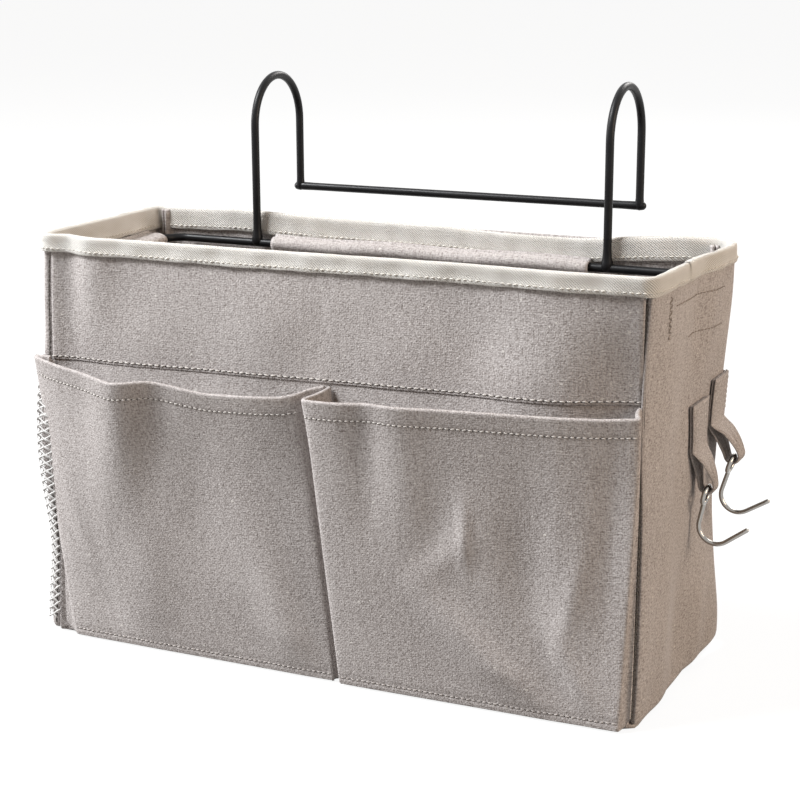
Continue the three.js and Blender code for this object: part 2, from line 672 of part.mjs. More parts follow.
// Tab: a doubled strap sewn to the side wall, its free loop, and the key hook in the loop
function addTab(name, y, top, lift, lean) {
  const wall = HALF_WIDTH + SEAM;
  const half = STRAP_WIDTH / 2;
  const anchorPlan = straightPlan(wall, y - half, wall + 2 * STRAP, y + half);
  const foot = top - TAB_STITCHED;
  piece(`${name}_tab_anchor`, upright(anchorPlan, foot, top), canvas);
  const loop = new THREE.Group();
  loop.position.set(wall + STRAP, y, foot - SEAM - STRAP);
  loop.rotation.y = -degrees(lift);
  caddy.add(loop);
  piece(`${name}_tab_loop`, loopGeometry(), canvas, loop);
  const neckDip = EYE_HALF_HEIGHT * (1 - Math.sqrt(1 - (LOOP_NECK / 2 / EYE_HALF_WIDTH) ** 2));
  const eyeSeat = -LOOP_DROP - LOOP_HOLE + EYE_PLAY + HOOK_WIRE / 2 + neckDip;
  const hook = piece(`${name}_hook`, hookGeometry(), nickel, loop);
  hook.position.set(LOOP_MIDDLE, 0, eyeSeat);
  hook.rotation.y = degrees(lift + lean);
}

addBottom();
addFront();
addBack();
addSide('right_side_panel', 1);
addSide('left_side_panel', -1);
addBinding();
addFrontPockets();
addNetPocket();
addRimWire();
addSleeves();
addHanger();
addTab('front', FRONT_TAB_Y, FRONT_TAB_TOP, FRONT_TAB_LIFT, FRONT_HOOK_LEAN);
addTab('rear', REAR_TAB_Y, REAR_TAB_TOP, REAR_TAB_LIFT, REAR_HOOK_LEAN);

export default caddy;
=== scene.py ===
import json
import bmesh
import bpy
import numpy as np
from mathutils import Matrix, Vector


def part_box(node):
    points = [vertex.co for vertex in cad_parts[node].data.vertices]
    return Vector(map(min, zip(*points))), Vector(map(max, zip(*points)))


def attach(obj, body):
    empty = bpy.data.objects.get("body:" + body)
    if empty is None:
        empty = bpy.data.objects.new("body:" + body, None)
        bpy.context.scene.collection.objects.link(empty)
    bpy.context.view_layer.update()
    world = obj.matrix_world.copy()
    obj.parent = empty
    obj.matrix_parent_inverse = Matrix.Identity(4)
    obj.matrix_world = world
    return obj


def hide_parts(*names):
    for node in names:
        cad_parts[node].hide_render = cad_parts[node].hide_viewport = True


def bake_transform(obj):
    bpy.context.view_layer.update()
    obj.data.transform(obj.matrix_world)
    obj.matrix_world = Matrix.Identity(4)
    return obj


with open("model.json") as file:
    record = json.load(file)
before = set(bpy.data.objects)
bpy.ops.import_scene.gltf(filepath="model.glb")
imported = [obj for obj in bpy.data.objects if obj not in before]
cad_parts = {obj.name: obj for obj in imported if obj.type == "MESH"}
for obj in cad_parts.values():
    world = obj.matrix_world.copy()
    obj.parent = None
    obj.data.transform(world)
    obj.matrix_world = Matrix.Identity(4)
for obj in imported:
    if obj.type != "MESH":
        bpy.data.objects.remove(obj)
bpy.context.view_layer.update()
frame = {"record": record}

# Studio: white paper under the caddy, a large soft lamp high at the front left, and weaker ones at the sides
# and back. The camera stands where the photograph was taken from, with a longer lens so that the caddy fills
# the frame.
scene = bpy.context.scene
scene.view_settings.view_transform = "Standard"
CAMERA_PLACE = (0.4080, -0.8606, 0.3731)
CAMERA_TURN = (75.77, 0.19, 24.74)
CAMERA_LENS = 83.0
PAPER_HALF = 15.0
PAPER_TOP = -0.0004


def join(tree, node, sockets):
    """Set each named socket of a node to a value, or join it to another node's output."""
    for key, value in sockets.items():
        if isinstance(value, bpy.types.NodeSocket):
            tree.links.new(value, node.inputs[key])
        else:
            node.inputs[key].default_value = value
    return node


def add_node(tree, kind, sockets=None, **settings):
    """One shader node with its settings and its sockets."""
    node = tree.nodes.new(kind)
    for key, value in settings.items():
        setattr(node, key, value)
    return join(tree, node, sockets or {})


def reckon(tree, operation, *values):
    """Result of a sum on numbers and outputs, named as the operation is."""
    return add_node(tree, "ShaderNodeMath", dict(enumerate(values)), operation=operation).outputs[0]


def between(tree, share, first, second):
    """The colour at a share of the way from the first to the second."""
    mix = add_node(tree, "ShaderNodeMix", {"Factor": share, 6: first, 7: second}, data_type="RGBA")
    return mix.outputs[2]


def seen_directly(tree):
    """1 for a ray that shows the background to the eye: from the camera, off metal or through glass."""
    path = add_node(tree, "ShaderNodeLightPath").outputs
    shiny = reckon(tree, "MAXIMUM", path["Is Glossy Ray"], path["Is Transmission Ray"])
    return reckon(tree, "MAXIMUM", path["Is Camera Ray"], shiny)


def soft_lamp(name, place, aim, size, power, colour):
    """A square lamp of a given size in metres, turned from its place towards its aim."""
    light = bpy.data.lights.new(name, "AREA")
    light.size = size
    light.energy = power
    light.color = colour
    lamp = bpy.data.objects.new(name, light)
    lamp.location = place
    lamp.rotation_euler = (Vector(aim) - Vector(place)).to_track_quat("-Z", "Y").to_euler()
    scene.collection.objects.link(lamp)


camera_data = bpy.data.cameras.new("photo_camera")
camera_data.lens = CAMERA_LENS
camera_data.clip_end = 60
camera = bpy.data.objects.new("photo_camera", camera_data)
camera.location = CAMERA_PLACE
camera.rotation_euler = np.radians(CAMERA_TURN)
scene.collection.objects.link(camera)
scene.camera = camera

soft_lamp("front_lamp", (-1.5, -0.95, 2.3), (0, 0, 0.12), 1.0, 132, (0.97, 0.985, 1.0))
soft_lamp("left_lamp", (-2.2, -0.45, 0.8), (0, 0, 0.12), 0.8, 25, (0.99, 0.99, 1.0))
soft_lamp("right_lamp", (1.8, 0.0, 0.8), (0.1, 0, 0.12), 0.9, 19.5, (1.0, 0.80, 0.62))
soft_lamp("back_lamp", (0.3, 2.3, 1.5), (0, 0, 0.12), 1.0, 30, (1.0, 0.97, 0.94))

scene.world = bpy.data.worlds.new("studio")
scene.world.use_nodes = True
sky = scene.world.node_tree
sky.nodes.clear()
room = add_node(sky, "ShaderNodeBackground", {"Color": (1.0, 0.90, 0.81, 1), "Strength": 0.20})
white = add_node(sky, "ShaderNodeBackground", {"Color": (1, 1, 1, 1), "Strength": 1.0})
sky_shaders = {0: seen_directly(sky), 1: room.outputs[0], 2: white.outputs[0]}
sky_mix = add_node(sky, "ShaderNodeMixShader", sky_shaders)
add_node(sky, "ShaderNodeOutputWorld", {"Surface": sky_mix.outputs[0]})

paper = bpy.data.meshes.new("paper")
paper_plan = PAPER_HALF * np.array([(-1, -1), (1, -1), (1, 1), (-1, 1)])
paper.from_pydata([(x, y, PAPER_TOP) for x, y in paper_plan], [], [(0, 1, 2, 3)])
paper_finish = bpy.data.materials.new("white_paper")
paper_finish.use_nodes = True
tree = paper_finish.node_tree
tree.nodes.clear()
seen = seen_directly(tree)
pale = between(tree, seen, (0.22, 0.21, 0.20, 1), (0.84, 0.84, 0.84, 1))
matt = add_node(tree, "ShaderNodeBsdfPrincipled", {"Base Color": pale, "Roughness": 0.9})
glow = add_node(tree, "ShaderNodeEmission", {"Color": (1, 1, 1, 1), "Strength": 1.06})
share = reckon(tree, "MULTIPLY", seen, 0.86)
paper_mix = add_node(tree, "ShaderNodeMixShader", {0: share, 1: matt.outputs[0], 2: glow.outputs[0]})
add_node(tree, "ShaderNodeOutputMaterial", {"Surface": paper_mix.outputs[0]})
paper.materials.append(paper_finish)
floor = bpy.data.objects.new("paper", paper)
scene.collection.objects.link(floor)

# Bottom panel: a doubled piece of grey-taupe cotton and linen canvas, cut with rounded corners and sewn to
# the four walls along its edge. It lies flat, because the board inside rests on it.
MM = 0.001
HALF_WIDTH = 168.0
HALF_DEPTH = 62.5
CORNER = 7.0
CANVAS = 1.8


def grid_faces(number):
    """Faces of grids of point numbers, four points each. The last two axes are a grid's rows and columns."""
    corners = [number[..., :-1, :-1], number[..., :-1, 1:], number[..., 1:, 1:], number[..., 1:, :-1]]
    return np.stack(corners, axis=-1).reshape(-1, 4)


def lay_cloth(name, points, cut, closed=False):
    """Piece made of a grid of points, rows by columns by xyz, in millimetres. cut holds each point's place
    on the flat cloth in millimetres."""
    number = np.arange(points[..., 0].size).reshape(points.shape[:2])
    return make_piece(name, points.reshape(-1, 3), grid_faces(number), cut.reshape(-1, 2), closed)


def make_piece(name, points, faces, cut, closed=False):
    """Object of points in millimetres and faces of point numbers, smooth, with cut as its UV map, in metres.
    Points at the same place are welded, and the faces of a closed skin are then turned outwards."""
    mesh = bpy.data.meshes.new(name)
    mesh.from_pydata((points * MM).tolist(), [], faces.tolist())
    mesh.uv_layers.new(name="cut").data.foreach_set("uv", (cut[faces.ravel()] * MM).ravel())
    work = bmesh.new()
    work.from_mesh(mesh)
    bmesh.ops.remove_doubles(work, verts=work.verts, dist=1e-6)
    if closed:
        bmesh.ops.recalc_face_normals(work, faces=work.faces)
    work.to_mesh(mesh)
    work.free()
    mesh.shade_smooth()
    piece = bpy.data.objects.new(name, mesh)
    scene.collection.objects.link(piece)
    return piece


def thicken(piece, thickness):
    """Give a sheet its thickness in millimetres, inwards from the side that its faces show."""
    wall = piece.modifiers.new("thickness", "SOLIDIFY")
    wall.thickness = thickness * MM
    wall.offset = -1
    return piece


def grid(rows, columns):
    """Two arrays of the same shape: each row's value and each column's value at every point of the grid."""
    return np.meshgrid(rows, columns, indexing="ij")


def finish_with(piece, material, body="caddy"):
    """Dress a piece in its material and let it ride on its body."""
    piece.data.materials.append(material)
    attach(piece, body)
    return piece


def cloth_places(tree, across, along):
    """UV places multiplied by a number of repeats per metre across and along the cloth."""
    uv = add_node(tree, "ShaderNodeUVMap", uv_map="cut").outputs[0]
    return add_node(tree, "ShaderNodeMapping", {"Vector": uv, "Scale": (across, along, 1)}).outputs[0]


def cloth_noise(tree, across, along, detail=2.0):
    """Noise with a number of repeats per metre across and along the cloth."""
    places = cloth_places(tree, across, along)
    return add_node(tree, "ShaderNodeTexNoise", {"Vector": places, "Scale": 1.0, "Detail": detail}).outputs[0]


def rescale(tree, value, low, high, first=0.0, last=1.0):
    """A value between low and high carried over to a scale from first to last, and held at its ends."""
    scale = {"Value": value, "From Min": low, "From Max": high, "To Min": first, "To Max": last}
    return add_node(tree, "ShaderNodeMapRange", scale).outputs[0]


def tone_ramp(tree, value, first, last, *others):
    """Colours blended along a scale of values. Each stop is a place on the scale and a colour."""
    ramp = add_node(tree, "ShaderNodeValToRGB", {"Fac": value})
    stops = ramp.color_ramp.elements
    for stop, (place, colour) in zip(stops, (first, last)):
        stop.position, stop.color = place, colour
    for place, colour in others:
        stops.new(place).color = colour
    return ramp.outputs[0]


def relief(tree, height, strength, distance):
    """Bump from a height, of which a whole step stands for a distance in metres."""
    bump = add_node(tree, "ShaderNodeBump", {"Height": height, "Strength": strength, "Distance": distance})
    return bump.outputs[0]


def new_finish(name):
    """A new material, its node tree and its surface shader."""
    material = bpy.data.materials.new(name)
    material.use_nodes = True
    return material, material.node_tree, material.node_tree.nodes["Principled BSDF"]


def woven_canvas(name, dark, ground, light, fleck):
    """Plain weave: threads 0.9 mm apart as the product of two sines, uneven threads as noise drawn out both
    ways, a nap, longer slubs along the warp, a slow drift of tone, and pale flecks where a fine noise peaks.
    The weave and the threads make the bump."""
    material, tree, surface = new_finish(name)
    threads = reckon(tree, "ADD", cloth_noise(tree, 380, 1450), cloth_noise(tree, 1450, 430))
    uneven = reckon(tree, "MULTIPLY_ADD", threads, 0.55, -0.47)
    tone = reckon(tree, "MULTIPLY_ADD", cloth_noise(tree, 1050, 1050), 0.68, uneven)
    tone = reckon(tree, "MULTIPLY_ADD", cloth_noise(tree, 560, 70, 1.0), 0.22, tone)
    tone = reckon(tree, "MULTIPLY_ADD", cloth_noise(tree, 16, 16), 0.20, tone)
    shade = tone_ramp(tree, tone, (0.40, dark), (0.74, light), (0.57, ground))
    peak = rescale(tree, cloth_noise(tree, 330, 420, 1.0), 0.70, 0.76)
    spots = add_node(tree, "ShaderNodeSeparateXYZ", {0: cloth_places(tree, 3490, 3490)}).outputs
    weave = reckon(tree, "MULTIPLY", reckon(tree, "SINE", spots[0]), reckon(tree, "SINE", spots[1]))
    height = reckon(tree, "MULTIPLY_ADD", weave, 0.05, uneven)
    join(tree, surface, {"Base Color": between(tree, peak, shade, fleck), "Roughness": 0.93,
                         "Specular IOR Level": 0.22, "Sheen Weight": 0.10,
                         "Normal": relief(tree, height, 0.85, 0.0006)})
    return material


canvas = woven_canvas("canvas", (0.245, 0.218, 0.205, 1), (0.385, 0.352, 0.342, 1), (0.530, 0.497, 0.485, 1),
                      (0.64, 0.61, 0.58, 1))
BOTTOM_WIDTH = 331.0
BOTTOM_DEPTH = 131.0
BOTTOM_SHIFT = -4.0
LEFT_SET = 2.2
LEFT_FLARE = 6.0
CORNER_LIFT = 5.0


def within(value):
    """The value held between 0 and 1."""
    return np.clip(value, 0, 1)


def together(*coordinates):
    """Points from arrays of their coordinates."""
    return np.stack(np.broadcast_arrays(*coordinates), axis=-1)


def lean_left(x, y, height):
    """Shift of the caddy's left end, which stands further out than the right one, most at the back of the
    rim. It grows as the square of the way to the left end."""
    share = np.clip((-x - 110) / 55, 0, 1.1) ** 2
    return -share * (LEFT_SET + LEFT_FLARE * within((y + 62) / 125) * within(height / 200))


def corner_lift(x, y):
    """The soft corner at the right of the back is drawn up off the floor, as the squared ways to it grow."""
    return CORNER_LIFT * (within((x - 100) / 66) * within((y + 5) / 66)) ** 2


across, down = grid(np.linspace(BOTTOM_DEPTH / 2, -BOTTOM_DEPTH / 2, 34), np.linspace(-1, 1, 90))
round_off = np.sqrt(CORNER ** 2 - np.maximum(np.abs(across) + CORNER - BOTTOM_DEPTH / 2, 0) ** 2)
flat_x = down * (BOTTOM_WIDTH / 2 - CORNER + round_off)
flat_y = across + BOTTOM_SHIFT
flat_x = flat_x + lean_left(flat_x, flat_y, 0)
slack = 0.5 + 0.25 * np.sin(flat_x / 31) * np.sin(across / 17) + corner_lift(flat_x, flat_y)
bottom = lay_cloth("bottom_cloth", together(flat_x, flat_y, slack), together(flat_x, across))
finish_with(thicken(bottom, CANVAS), canvas)
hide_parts("bottom_panel")

# Base board: a stiff board in a dark cloth cover that keeps the bottom flat and the lower corners out. It
# lies loose on the bottom panel and lifts out when the caddy is folded.
BOARD = 2.4
BOARD_CORNER = 4.0
cover = woven_canvas("board_cover", (0.10, 0.093, 0.087, 1), (0.16, 0.15, 0.14, 1), (0.22, 0.205, 0.19, 1),
                     (0.30, 0.28, 0.26, 1))
board_low, board_high = (np.array(corner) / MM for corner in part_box("base_board"))
across, down = grid(np.linspace(board_low[1], board_high[1], 24), np.linspace(-1, 1, 60))
round_off = np.sqrt(BOARD_CORNER ** 2 - np.maximum(np.abs(across) + BOARD_CORNER - board_high[1], 0) ** 2)
flat_x = down * (board_high[0] - BOARD_CORNER + round_off)
board_top = together(flat_x, across, np.full_like(flat_x, board_high[2]))
board = thicken(lay_cloth("covered_board", board_top, together(flat_x, across)), BOARD)
edge = board.modifiers.new("soft_edge", "BEVEL")
edge.width = 0.8 * MM
edge.segments = 3
finish_with(board, cover)
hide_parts("base_board")

# Back panel and side panels: the same canvas, doubled. Each side panel turns the corners and is sewn to the
# back and the front with the turnings inside, so a narrow groove shows at each seam. The walls are soft and
# give.
STRAIGHT_X = HALF_WIDTH - CORNER
STRAIGHT_Y = HALF_DEPTH - CORNER
ARC = CORNER * np.pi / 2
PLAN_RUN = np.cumsum([0, STRAIGHT_X, ARC, 2 * STRAIGHT_Y, ARC, 2 * STRAIGHT_X, ARC, 2 * STRAIGHT_Y, ARC,
                      STRAIGHT_X])
PLAN_X = STRAIGHT_X * np.array([0, 1, 1, 1, 1, -1, -1, -1, -1, 0])
PLAN_Y = STRAIGHT_Y * np.array([-1, -1, -1, 1, 1, 1, 1, -1, -1, -1])
PLAN_TURN = np.radians([-90, -90, 0, 0, 90, 90, 180, 180, 270, 270])
GIRTH = PLAN_RUN[-1]
RIGHT_FRONT, LEFT_FRONT = PLAN_RUN[1] + 4.2, PLAN_RUN[8] - 3.4
RIGHT_BACK, LEFT_BACK = PLAN_RUN[4], PLAN_RUN[5]
RIGHT_MIDDLE = PLAN_RUN[2] + STRAIGHT_Y
BACK_MIDDLE = PLAN_RUN[4] + STRAIGHT_X
LEFT_MIDDLE = PLAN_RUN[6] + STRAIGHT_Y
# Soft folds of the walls, by the place on the plan that they are measured from: start and end as (distance
# along the plan, height), width and rise, in millimetres
WALL_FOLDS = [(base + start, low, base + end, high, width, rise) for base, folds in (
    (RIGHT_MIDDLE, ((48, 330, 60, 90, 30, 5.0), (62, -70, 44, 80, 22, 5.0), (58, 110, 30, 60, 16, -1.8),
                    (30, 240, 24, 150, 10, 1.8), (14, 235, 6, 130, 9, -1.8), (-8, 190, -16, 50, 10, -1.8),
                    (-36, -40, -22, 110, 12, 2.2), (-8, -40, 6, 90, 11, -2.4), (20, -30, 34, 70, 9, 2.0))),
    (PLAN_RUN[7], ((3, -60, 3, 60, 8, 4.5), (3, 35, 3, 175, 8, 6.0), (6, 240, 6, 40, 15, 2.4))),
    (LEFT_MIDDLE, ((-36, -30, -40, 130, 26, 4.0),)),
    (BACK_MIDDLE, ((-30, 200, 10, 0, 70, -4.0), (110, 170, 118, 10, 30, 2.6), (-100, -20, -84, 150, 22, 3.0),
                   (30, -20, 66, 120, 16, -2.4))),
    (GIRTH, ((-154, 290, -151, 130, 8, -3.4), (-134, 280, -136, 140, 10, 2.0), (-70, 215, -4, 160, 22, 1.8))),
    (0, ((60, 225, 100, 150, 20, -2.2), (104, 300, 118, 60, 34, 2.6))),
) for start, low, end, high, width, rise in folds]
FRONT_SWELL = 4.2
FOOT_FLARE = 8.2
FLARE_TOP = 150.0
YOKE_DENT = 8.0
TAPER_X = 1.4
TAPER_Y = 0.6
TAPER_TOP = 215.0
WALL_TOP = 216.0
SEAM_DIP = 4.0


def crease(across, height, folds):
    """Sum of soft folds: each rises as a bell over the distance to a straight line, fullest at the line's
    middle and fading to nothing at both ends. All in millimetres."""
    total = np.zeros(np.broadcast(across, height).shape)
    for x0, z0, x1, z1, width, rise in folds:
        dx, dz = x1 - x0, z1 - z0
        part = within(((across - x0) * dx + (height - z0) * dz) / (dx * dx + dz * dz))
        away = (across - x0 - part * dx) ** 2 + (height - z0 - part * dz) ** 2
        total = total + rise * np.sin(np.pi * part) ** 2 * np.exp(-away / width ** 2)
    return total


def front_swell(across, height):
    """The front stands out a little at half height, as a half sine upwards that fades towards the corners."""
    return FRONT_SWELL * np.sin(np.pi * within(height / TAPER_TOP)) * within((166 - np.abs(across)) / 40)


def foot_flare(height):
    """The board holds the foot of the front out: most at the floor, nothing at the flare's top."""
    return FOOT_FLARE * within(1 - height / FLARE_TOP) ** 1.4


def yoke_dent(across, height):
    """The front falls back to its right corner seam, most at the yoke's lower edge, as a bell both ways."""
    return YOKE_DENT * np.exp(-((across - 161) / 24) ** 2 - ((height - 156) / 44) ** 2)


def wall_face(along, height, out=0.0):
    """Outer face of the canvas box: a rounded rectangle walked anticlockwise from the front middle, narrower
    at the foot, each point moved along its own normal by the folds, a slow waviness, the front's swell and
    out."""
    run = along % GIRTH
    turn = np.interp(run, PLAN_RUN, PLAN_TURN)
    waves = 0.55 * np.sin(run / 23 + 1.3) * np.sin(height / 31 + 0.6) + 0.35 * np.sin(run / 11 - height / 19)
    calm = np.clip((212 - height) / 30, 0.25, 1) * within(height / 20)
    roll = -1.6 * within(1 - height / 3.5) ** 2
    from_middle = run - GIRTH * (run > GIRTH / 2)
    swell = front_swell(from_middle, height) - yoke_dent(from_middle, height)
    reach = CORNER + out + roll + calm * waves + swell + crease(run, height, WALL_FOLDS)
    taper = 1 - within(height / TAPER_TOP)
    x = np.interp(run, PLAN_RUN, PLAN_X) + np.cos(turn) * (reach - TAPER_X * taper)
    y = np.interp(run, PLAN_RUN, PLAN_Y) + np.sin(turn) * (reach - TAPER_Y * taper)
    y = y - foot_flare(height) * within(-np.sin(turn))
    x = x + lean_left(x, y, height)
    z = height + corner_lift(x, y) * within(1 - height / 60) ** 2
    return together(x, y, z)


def wall_panel(name, start, end, rows_at, out=None, thickness=CANVAS, curl=1.7):
    """Part of the box between two places on its plan, with the heights of its rows worked out at each place
    by rows_at and moved out by out. Its two upright edges dip into their seams over the curl, in
    millimetres."""
    edge = np.array([0.35, 0.7, 1.1, 1.6, 2.2, 3.0])
    line = np.concatenate([[start], start + edge, np.linspace(start + 4, end - 4, int((end - start) / 2.6)),
                           end - edge[::-1], [end]])
    height = rows_at(line)
    along = np.broadcast_to(line, height.shape)
    dip = SEAM_DIP * (np.exp(-((along - start) / curl) ** 2) + np.exp(-((along - end) / curl) ** 2))
    stand = out(along, height) if out else 0.0
    panel = lay_cloth(name, wall_face(along, height, stand - dip), together(along, height))
    return finish_with(thicken(panel, thickness), canvas)


def full_height(line):
    """Rows from the bottom seam to under the tape, closer together where the foot turns under."""
    rows = np.concatenate([[0.6, 1.4, 2.4, 3.6], np.linspace(5, WALL_TOP, 84)])
    return np.repeat(rows[:, None], len(line), axis=1)


for side, start, end, width, curl in (("back", RIGHT_BACK, LEFT_BACK, 0.325, 1.7),
                                      ("right_side", RIGHT_FRONT, RIGHT_BACK, 0.135, 0.7),
                                      ("left_side", LEFT_BACK, LEFT_FRONT, 0.135, 1.7)):
    panel = wall_panel(side + "_cloth", start, end, full_height, curl=curl)
    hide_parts(side + "_panel")

# Front: a lower panel behind the pockets and a yoke above it. The yoke's turned edge laps over the lower
# panel and is topstitched along it with a pale thread.
SEAM_HEIGHT = 155.4
SEAM_SLOPE = 0.017
YOKE_CLOTH = 0.6
BELLY = 5.0


def seam_height(along):
    """The yoke's seam climbs a little from left to right."""
    return SEAM_HEIGHT + SEAM_SLOPE * (along - GIRTH)


def lower_rows(line):
    """Rows from the bottom seam to 6 mm above the yoke's edge."""
    rows = np.concatenate([[0.004, 0.009, 0.015, 0.022], np.linspace(0.03, 1, 60)])
    return rows[:, None] * (seam_height(line) + 6)


def yoke_rows(line):
    """Rows from the yoke's edge, close together at the stitches, to under the tape."""
    stitched = [0, 0.004, 0.01, 0.016, 0.024, 0.03, 0.036, 0.044, 0.055]
    rows = np.concatenate([stitched, np.linspace(0.07, 1, 32)])
    return seam_height(line) + rows[:, None] * (WALL_TOP - seam_height(line))


def belly(along, height):
    """The lower panel lies behind the yoke's edge and swells out inside each pocket, under the mouth."""
    inside = np.sin(np.pi * within(np.abs(along - GIRTH) / 164)) ** 0.8
    return BELLY * inside * np.exp(-((height - 120) / 20) ** 2) - YOKE_CLOTH


front_lower = wall_panel("front_lower_cloth", LEFT_FRONT, GIRTH + RIGHT_FRONT, lower_rows, out=belly)
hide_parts("front_lower_panel")
yoke = wall_panel("yoke_cloth", LEFT_FRONT, GIRTH + RIGHT_FRONT, yoke_rows, thickness=YOKE_CLOTH)
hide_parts("front_yoke")


def object_noise(tree, scale, detail):
    """Noise on the piece's own coordinates, with a number of repeats per metre."""
    place = add_node(tree, "ShaderNodeTexCoord").outputs["Object"]
    noise = add_node(tree, "ShaderNodeTexNoise", {"Vector": place, "Scale": scale, "Detail": detail})
    return noise.outputs[0]


def twisted_thread(name, dark, light):
    """Sewing thread, and the near-black painted shade of needle holes and corner seams: a fine noise between two
    tones.
    """
    material, tree, surface = new_finish(name)
    tone = between(tree, object_noise(tree, 900.0, 2.0), dark, light)
    join(tree, surface, {"Base Color": tone, "Roughness": 0.7})
    return material


def walked(line):
    """Distance walked along a line of points, from its start to each of them."""
    return np.concatenate([[0], np.cumsum(np.linalg.norm(np.diff(line, axis=0), axis=1))])


def unit(vectors):
    """Vectors of the same directions and of length 1."""
    return vectors / np.linalg.norm(vectors, axis=-1, keepdims=True)


def sew(name, line, facing, thread, pitch=3.0, length=2.3, width=0.8, height=0.45, shift=0.5):
    """Row of stitches: one flattened bead in each pitch along the line, long along it and thin along facing.
    A bead is a half turn of ellipse radii swept six ways round: 5 rings of 6 points."""
    run = walked(line)
    count = max(int(round(run[-1] / pitch)), 1)
    middle = (np.arange(count) + shift) * run[-1] / count

    def read(values, places):
        """Values given at the line's points, read at places along it."""
        return np.stack([np.interp(places, run, values[:, k]) for k in range(3)], axis=-1)

    out = read(facing, middle)
    forward = unit(read(line, middle + 0.5) - read(line, middle - 0.5))
    forward = forward + 0.22 * np.sin(2.4 * np.arange(count))[:, None] * np.cross(out, forward)
    ways = np.stack([forward, np.cross(out, forward), out], axis=1)
    tip, turn = grid(np.radians([-90, -55, 0, 55, 90]), np.radians(np.arange(0, 360, 60)))
    bead = together(np.sin(tip) * length / 2, np.cos(tip) * np.cos(turn) * width / 2,
                    np.cos(tip) * np.sin(turn) * height).reshape(-1, 3)
    points = read(line, middle)[:, None] + np.einsum("vk,skx->svx", bead, ways)
    number = 30 * np.arange(count)[:, None, None] + 6 * np.arange(5)[:, None] + np.arange(7) % 6
    row = make_piece(name, points.reshape(-1, 3), grid_faces(number), np.zeros((count * 30, 2)))
    return finish_with(row, thread)


def wall_line(along, height, out=0.1):
    """A line on the box's face and the direction that the face looks in along it."""
    here = wall_face(along, height, out)
    return here, wall_face(along, height, out + 1.0) - here


pale_thread = twisted_thread("pale_thread", (0.46, 0.43, 0.40, 1), (0.64, 0.61, 0.58, 1))
taupe_thread = twisted_thread("taupe_thread", (0.30, 0.27, 0.25, 1), (0.52, 0.48, 0.46, 1))
# Needle holes: tiny near-black beads at the stitches' ends, painted shade of the pits where the thread goes
# through the cloth.
painted_hole_shade = twisted_thread("painted_hole_shade", (0.03, 0.025, 0.022, 1), (0.06, 0.05, 0.045, 1))
front_run = np.linspace(LEFT_FRONT + 2, GIRTH + RIGHT_FRONT - 2, 240)
seam_line = wall_line(front_run, seam_height(front_run) + 1.5, 0.05)
sew("yoke_stitches", *seam_line, pale_thread, pitch=3.6, length=2.7, width=0.75)
sew("yoke_needle_holes", *seam_line, painted_hole_shade, pitch=3.6, length=1.2, width=0.8, height=0.2, shift=0.0)
# Corner seams: a near-black thread sunk in the groove of each front corner seam, painted shade of the groove's
# depth.
painted_seam_shade = twisted_thread("painted_seam_shade", (0.045, 0.038, 0.032, 1), (0.09, 0.078, 0.068, 1))
seam_rise = np.linspace(4, 206, 160)
for corner, place in (("right", RIGHT_FRONT - 0.4), ("left", LEFT_FRONT)):
    corner_line = wall_line(np.full(160, place), seam_rise, -1.2)
    sew(corner + "_corner_seam_shade", *corner_line, painted_seam_shade, pitch=2.6, length=3.0, width=1.5)

# Wire frame: steel wire in a black satin powder coat. One wire is bent into the bar along the back and an
# arm in each side; two hooks are welded to the bar, and a cross bar joins their ends behind the bed rail.
WIRE = 4.5
WIRE_BEND = 12.0
BAR_Y = 56.25
BAR_Z = 201.0
ARM_X = 161.75
ARM_REACH = 86.0
HOOK_X = 105.0
ARCH = 27.0
ARCH_Z = 267.0
CROSS_Y = BAR_Y + 2 * ARCH
CROSS_Z = 227.0


def arc_points(centre, radius, start, end, first, second, count=16):
    """Points on a circle from one angle to another, in degrees, in the plane of two directions."""
    turn = np.radians(np.linspace(start, end, count))[:, None]
    return np.array(centre) + radius * (np.cos(turn) * np.array(first) + np.sin(turn) * np.array(second))


def bent_wire(name, path, flat_side, thickness, sides=14):
    """Round wire along a flat path: a circle of the given thickness in the plane of flat_side and the path's
    own side, closed at each end by rings that shrink as a half ball does."""
    ahead = unit(np.gradient(path, axis=0))
    radius = np.broadcast_to(np.asarray(thickness, float) / 2, len(path))
    cap = np.radians([90, 60, 30])[:, None]
    path = np.concatenate([path[:1] - ahead[:1] * radius[0] * np.sin(cap), path,
                           path[-1:] + ahead[-1:] * radius[-1] * np.sin(cap[::-1])])
    radius = np.concatenate([radius[0] * np.cos(cap[:, 0]), radius, radius[-1] * np.cos(cap[::-1, 0])])
    ahead = np.concatenate([np.repeat(ahead[:1], 3, axis=0), ahead, np.repeat(ahead[-1:], 3, axis=0)])
    up = np.array(flat_side, float)
    beside = np.cross(ahead, up)
    turn = np.linspace(0, 2 * np.pi, sides + 1)[None, :, None]
    points = path[:, None] + radius[:, None, None] * (np.cos(turn) * beside[:, None] + np.sin(turn) * up)
    length, round_it = grid(walked(path), turn.ravel() * WIRE / 2)
    return lay_cloth(name, points, together(round_it, length))


def powder_coat(name):
    """Black satin coat: a faint grain in the bump, and a gloss that varies a little from place to place."""
    material, tree, surface = new_finish(name)
    patch = object_noise(tree, 55.0, 3.0)
    tone = between(tree, patch, (0.005, 0.005, 0.006, 1), (0.012, 0.012, 0.013, 1))
    join(tree, surface, {"Base Color": tone, "Roughness": rescale(tree, patch, 0.3, 0.7, 0.30, 0.46),
                         "Specular IOR Level": 0.18,
                         "Normal": relief(tree, object_noise(tree, 1400.0, 1.0), 0.12, 0.0003)})
    return material


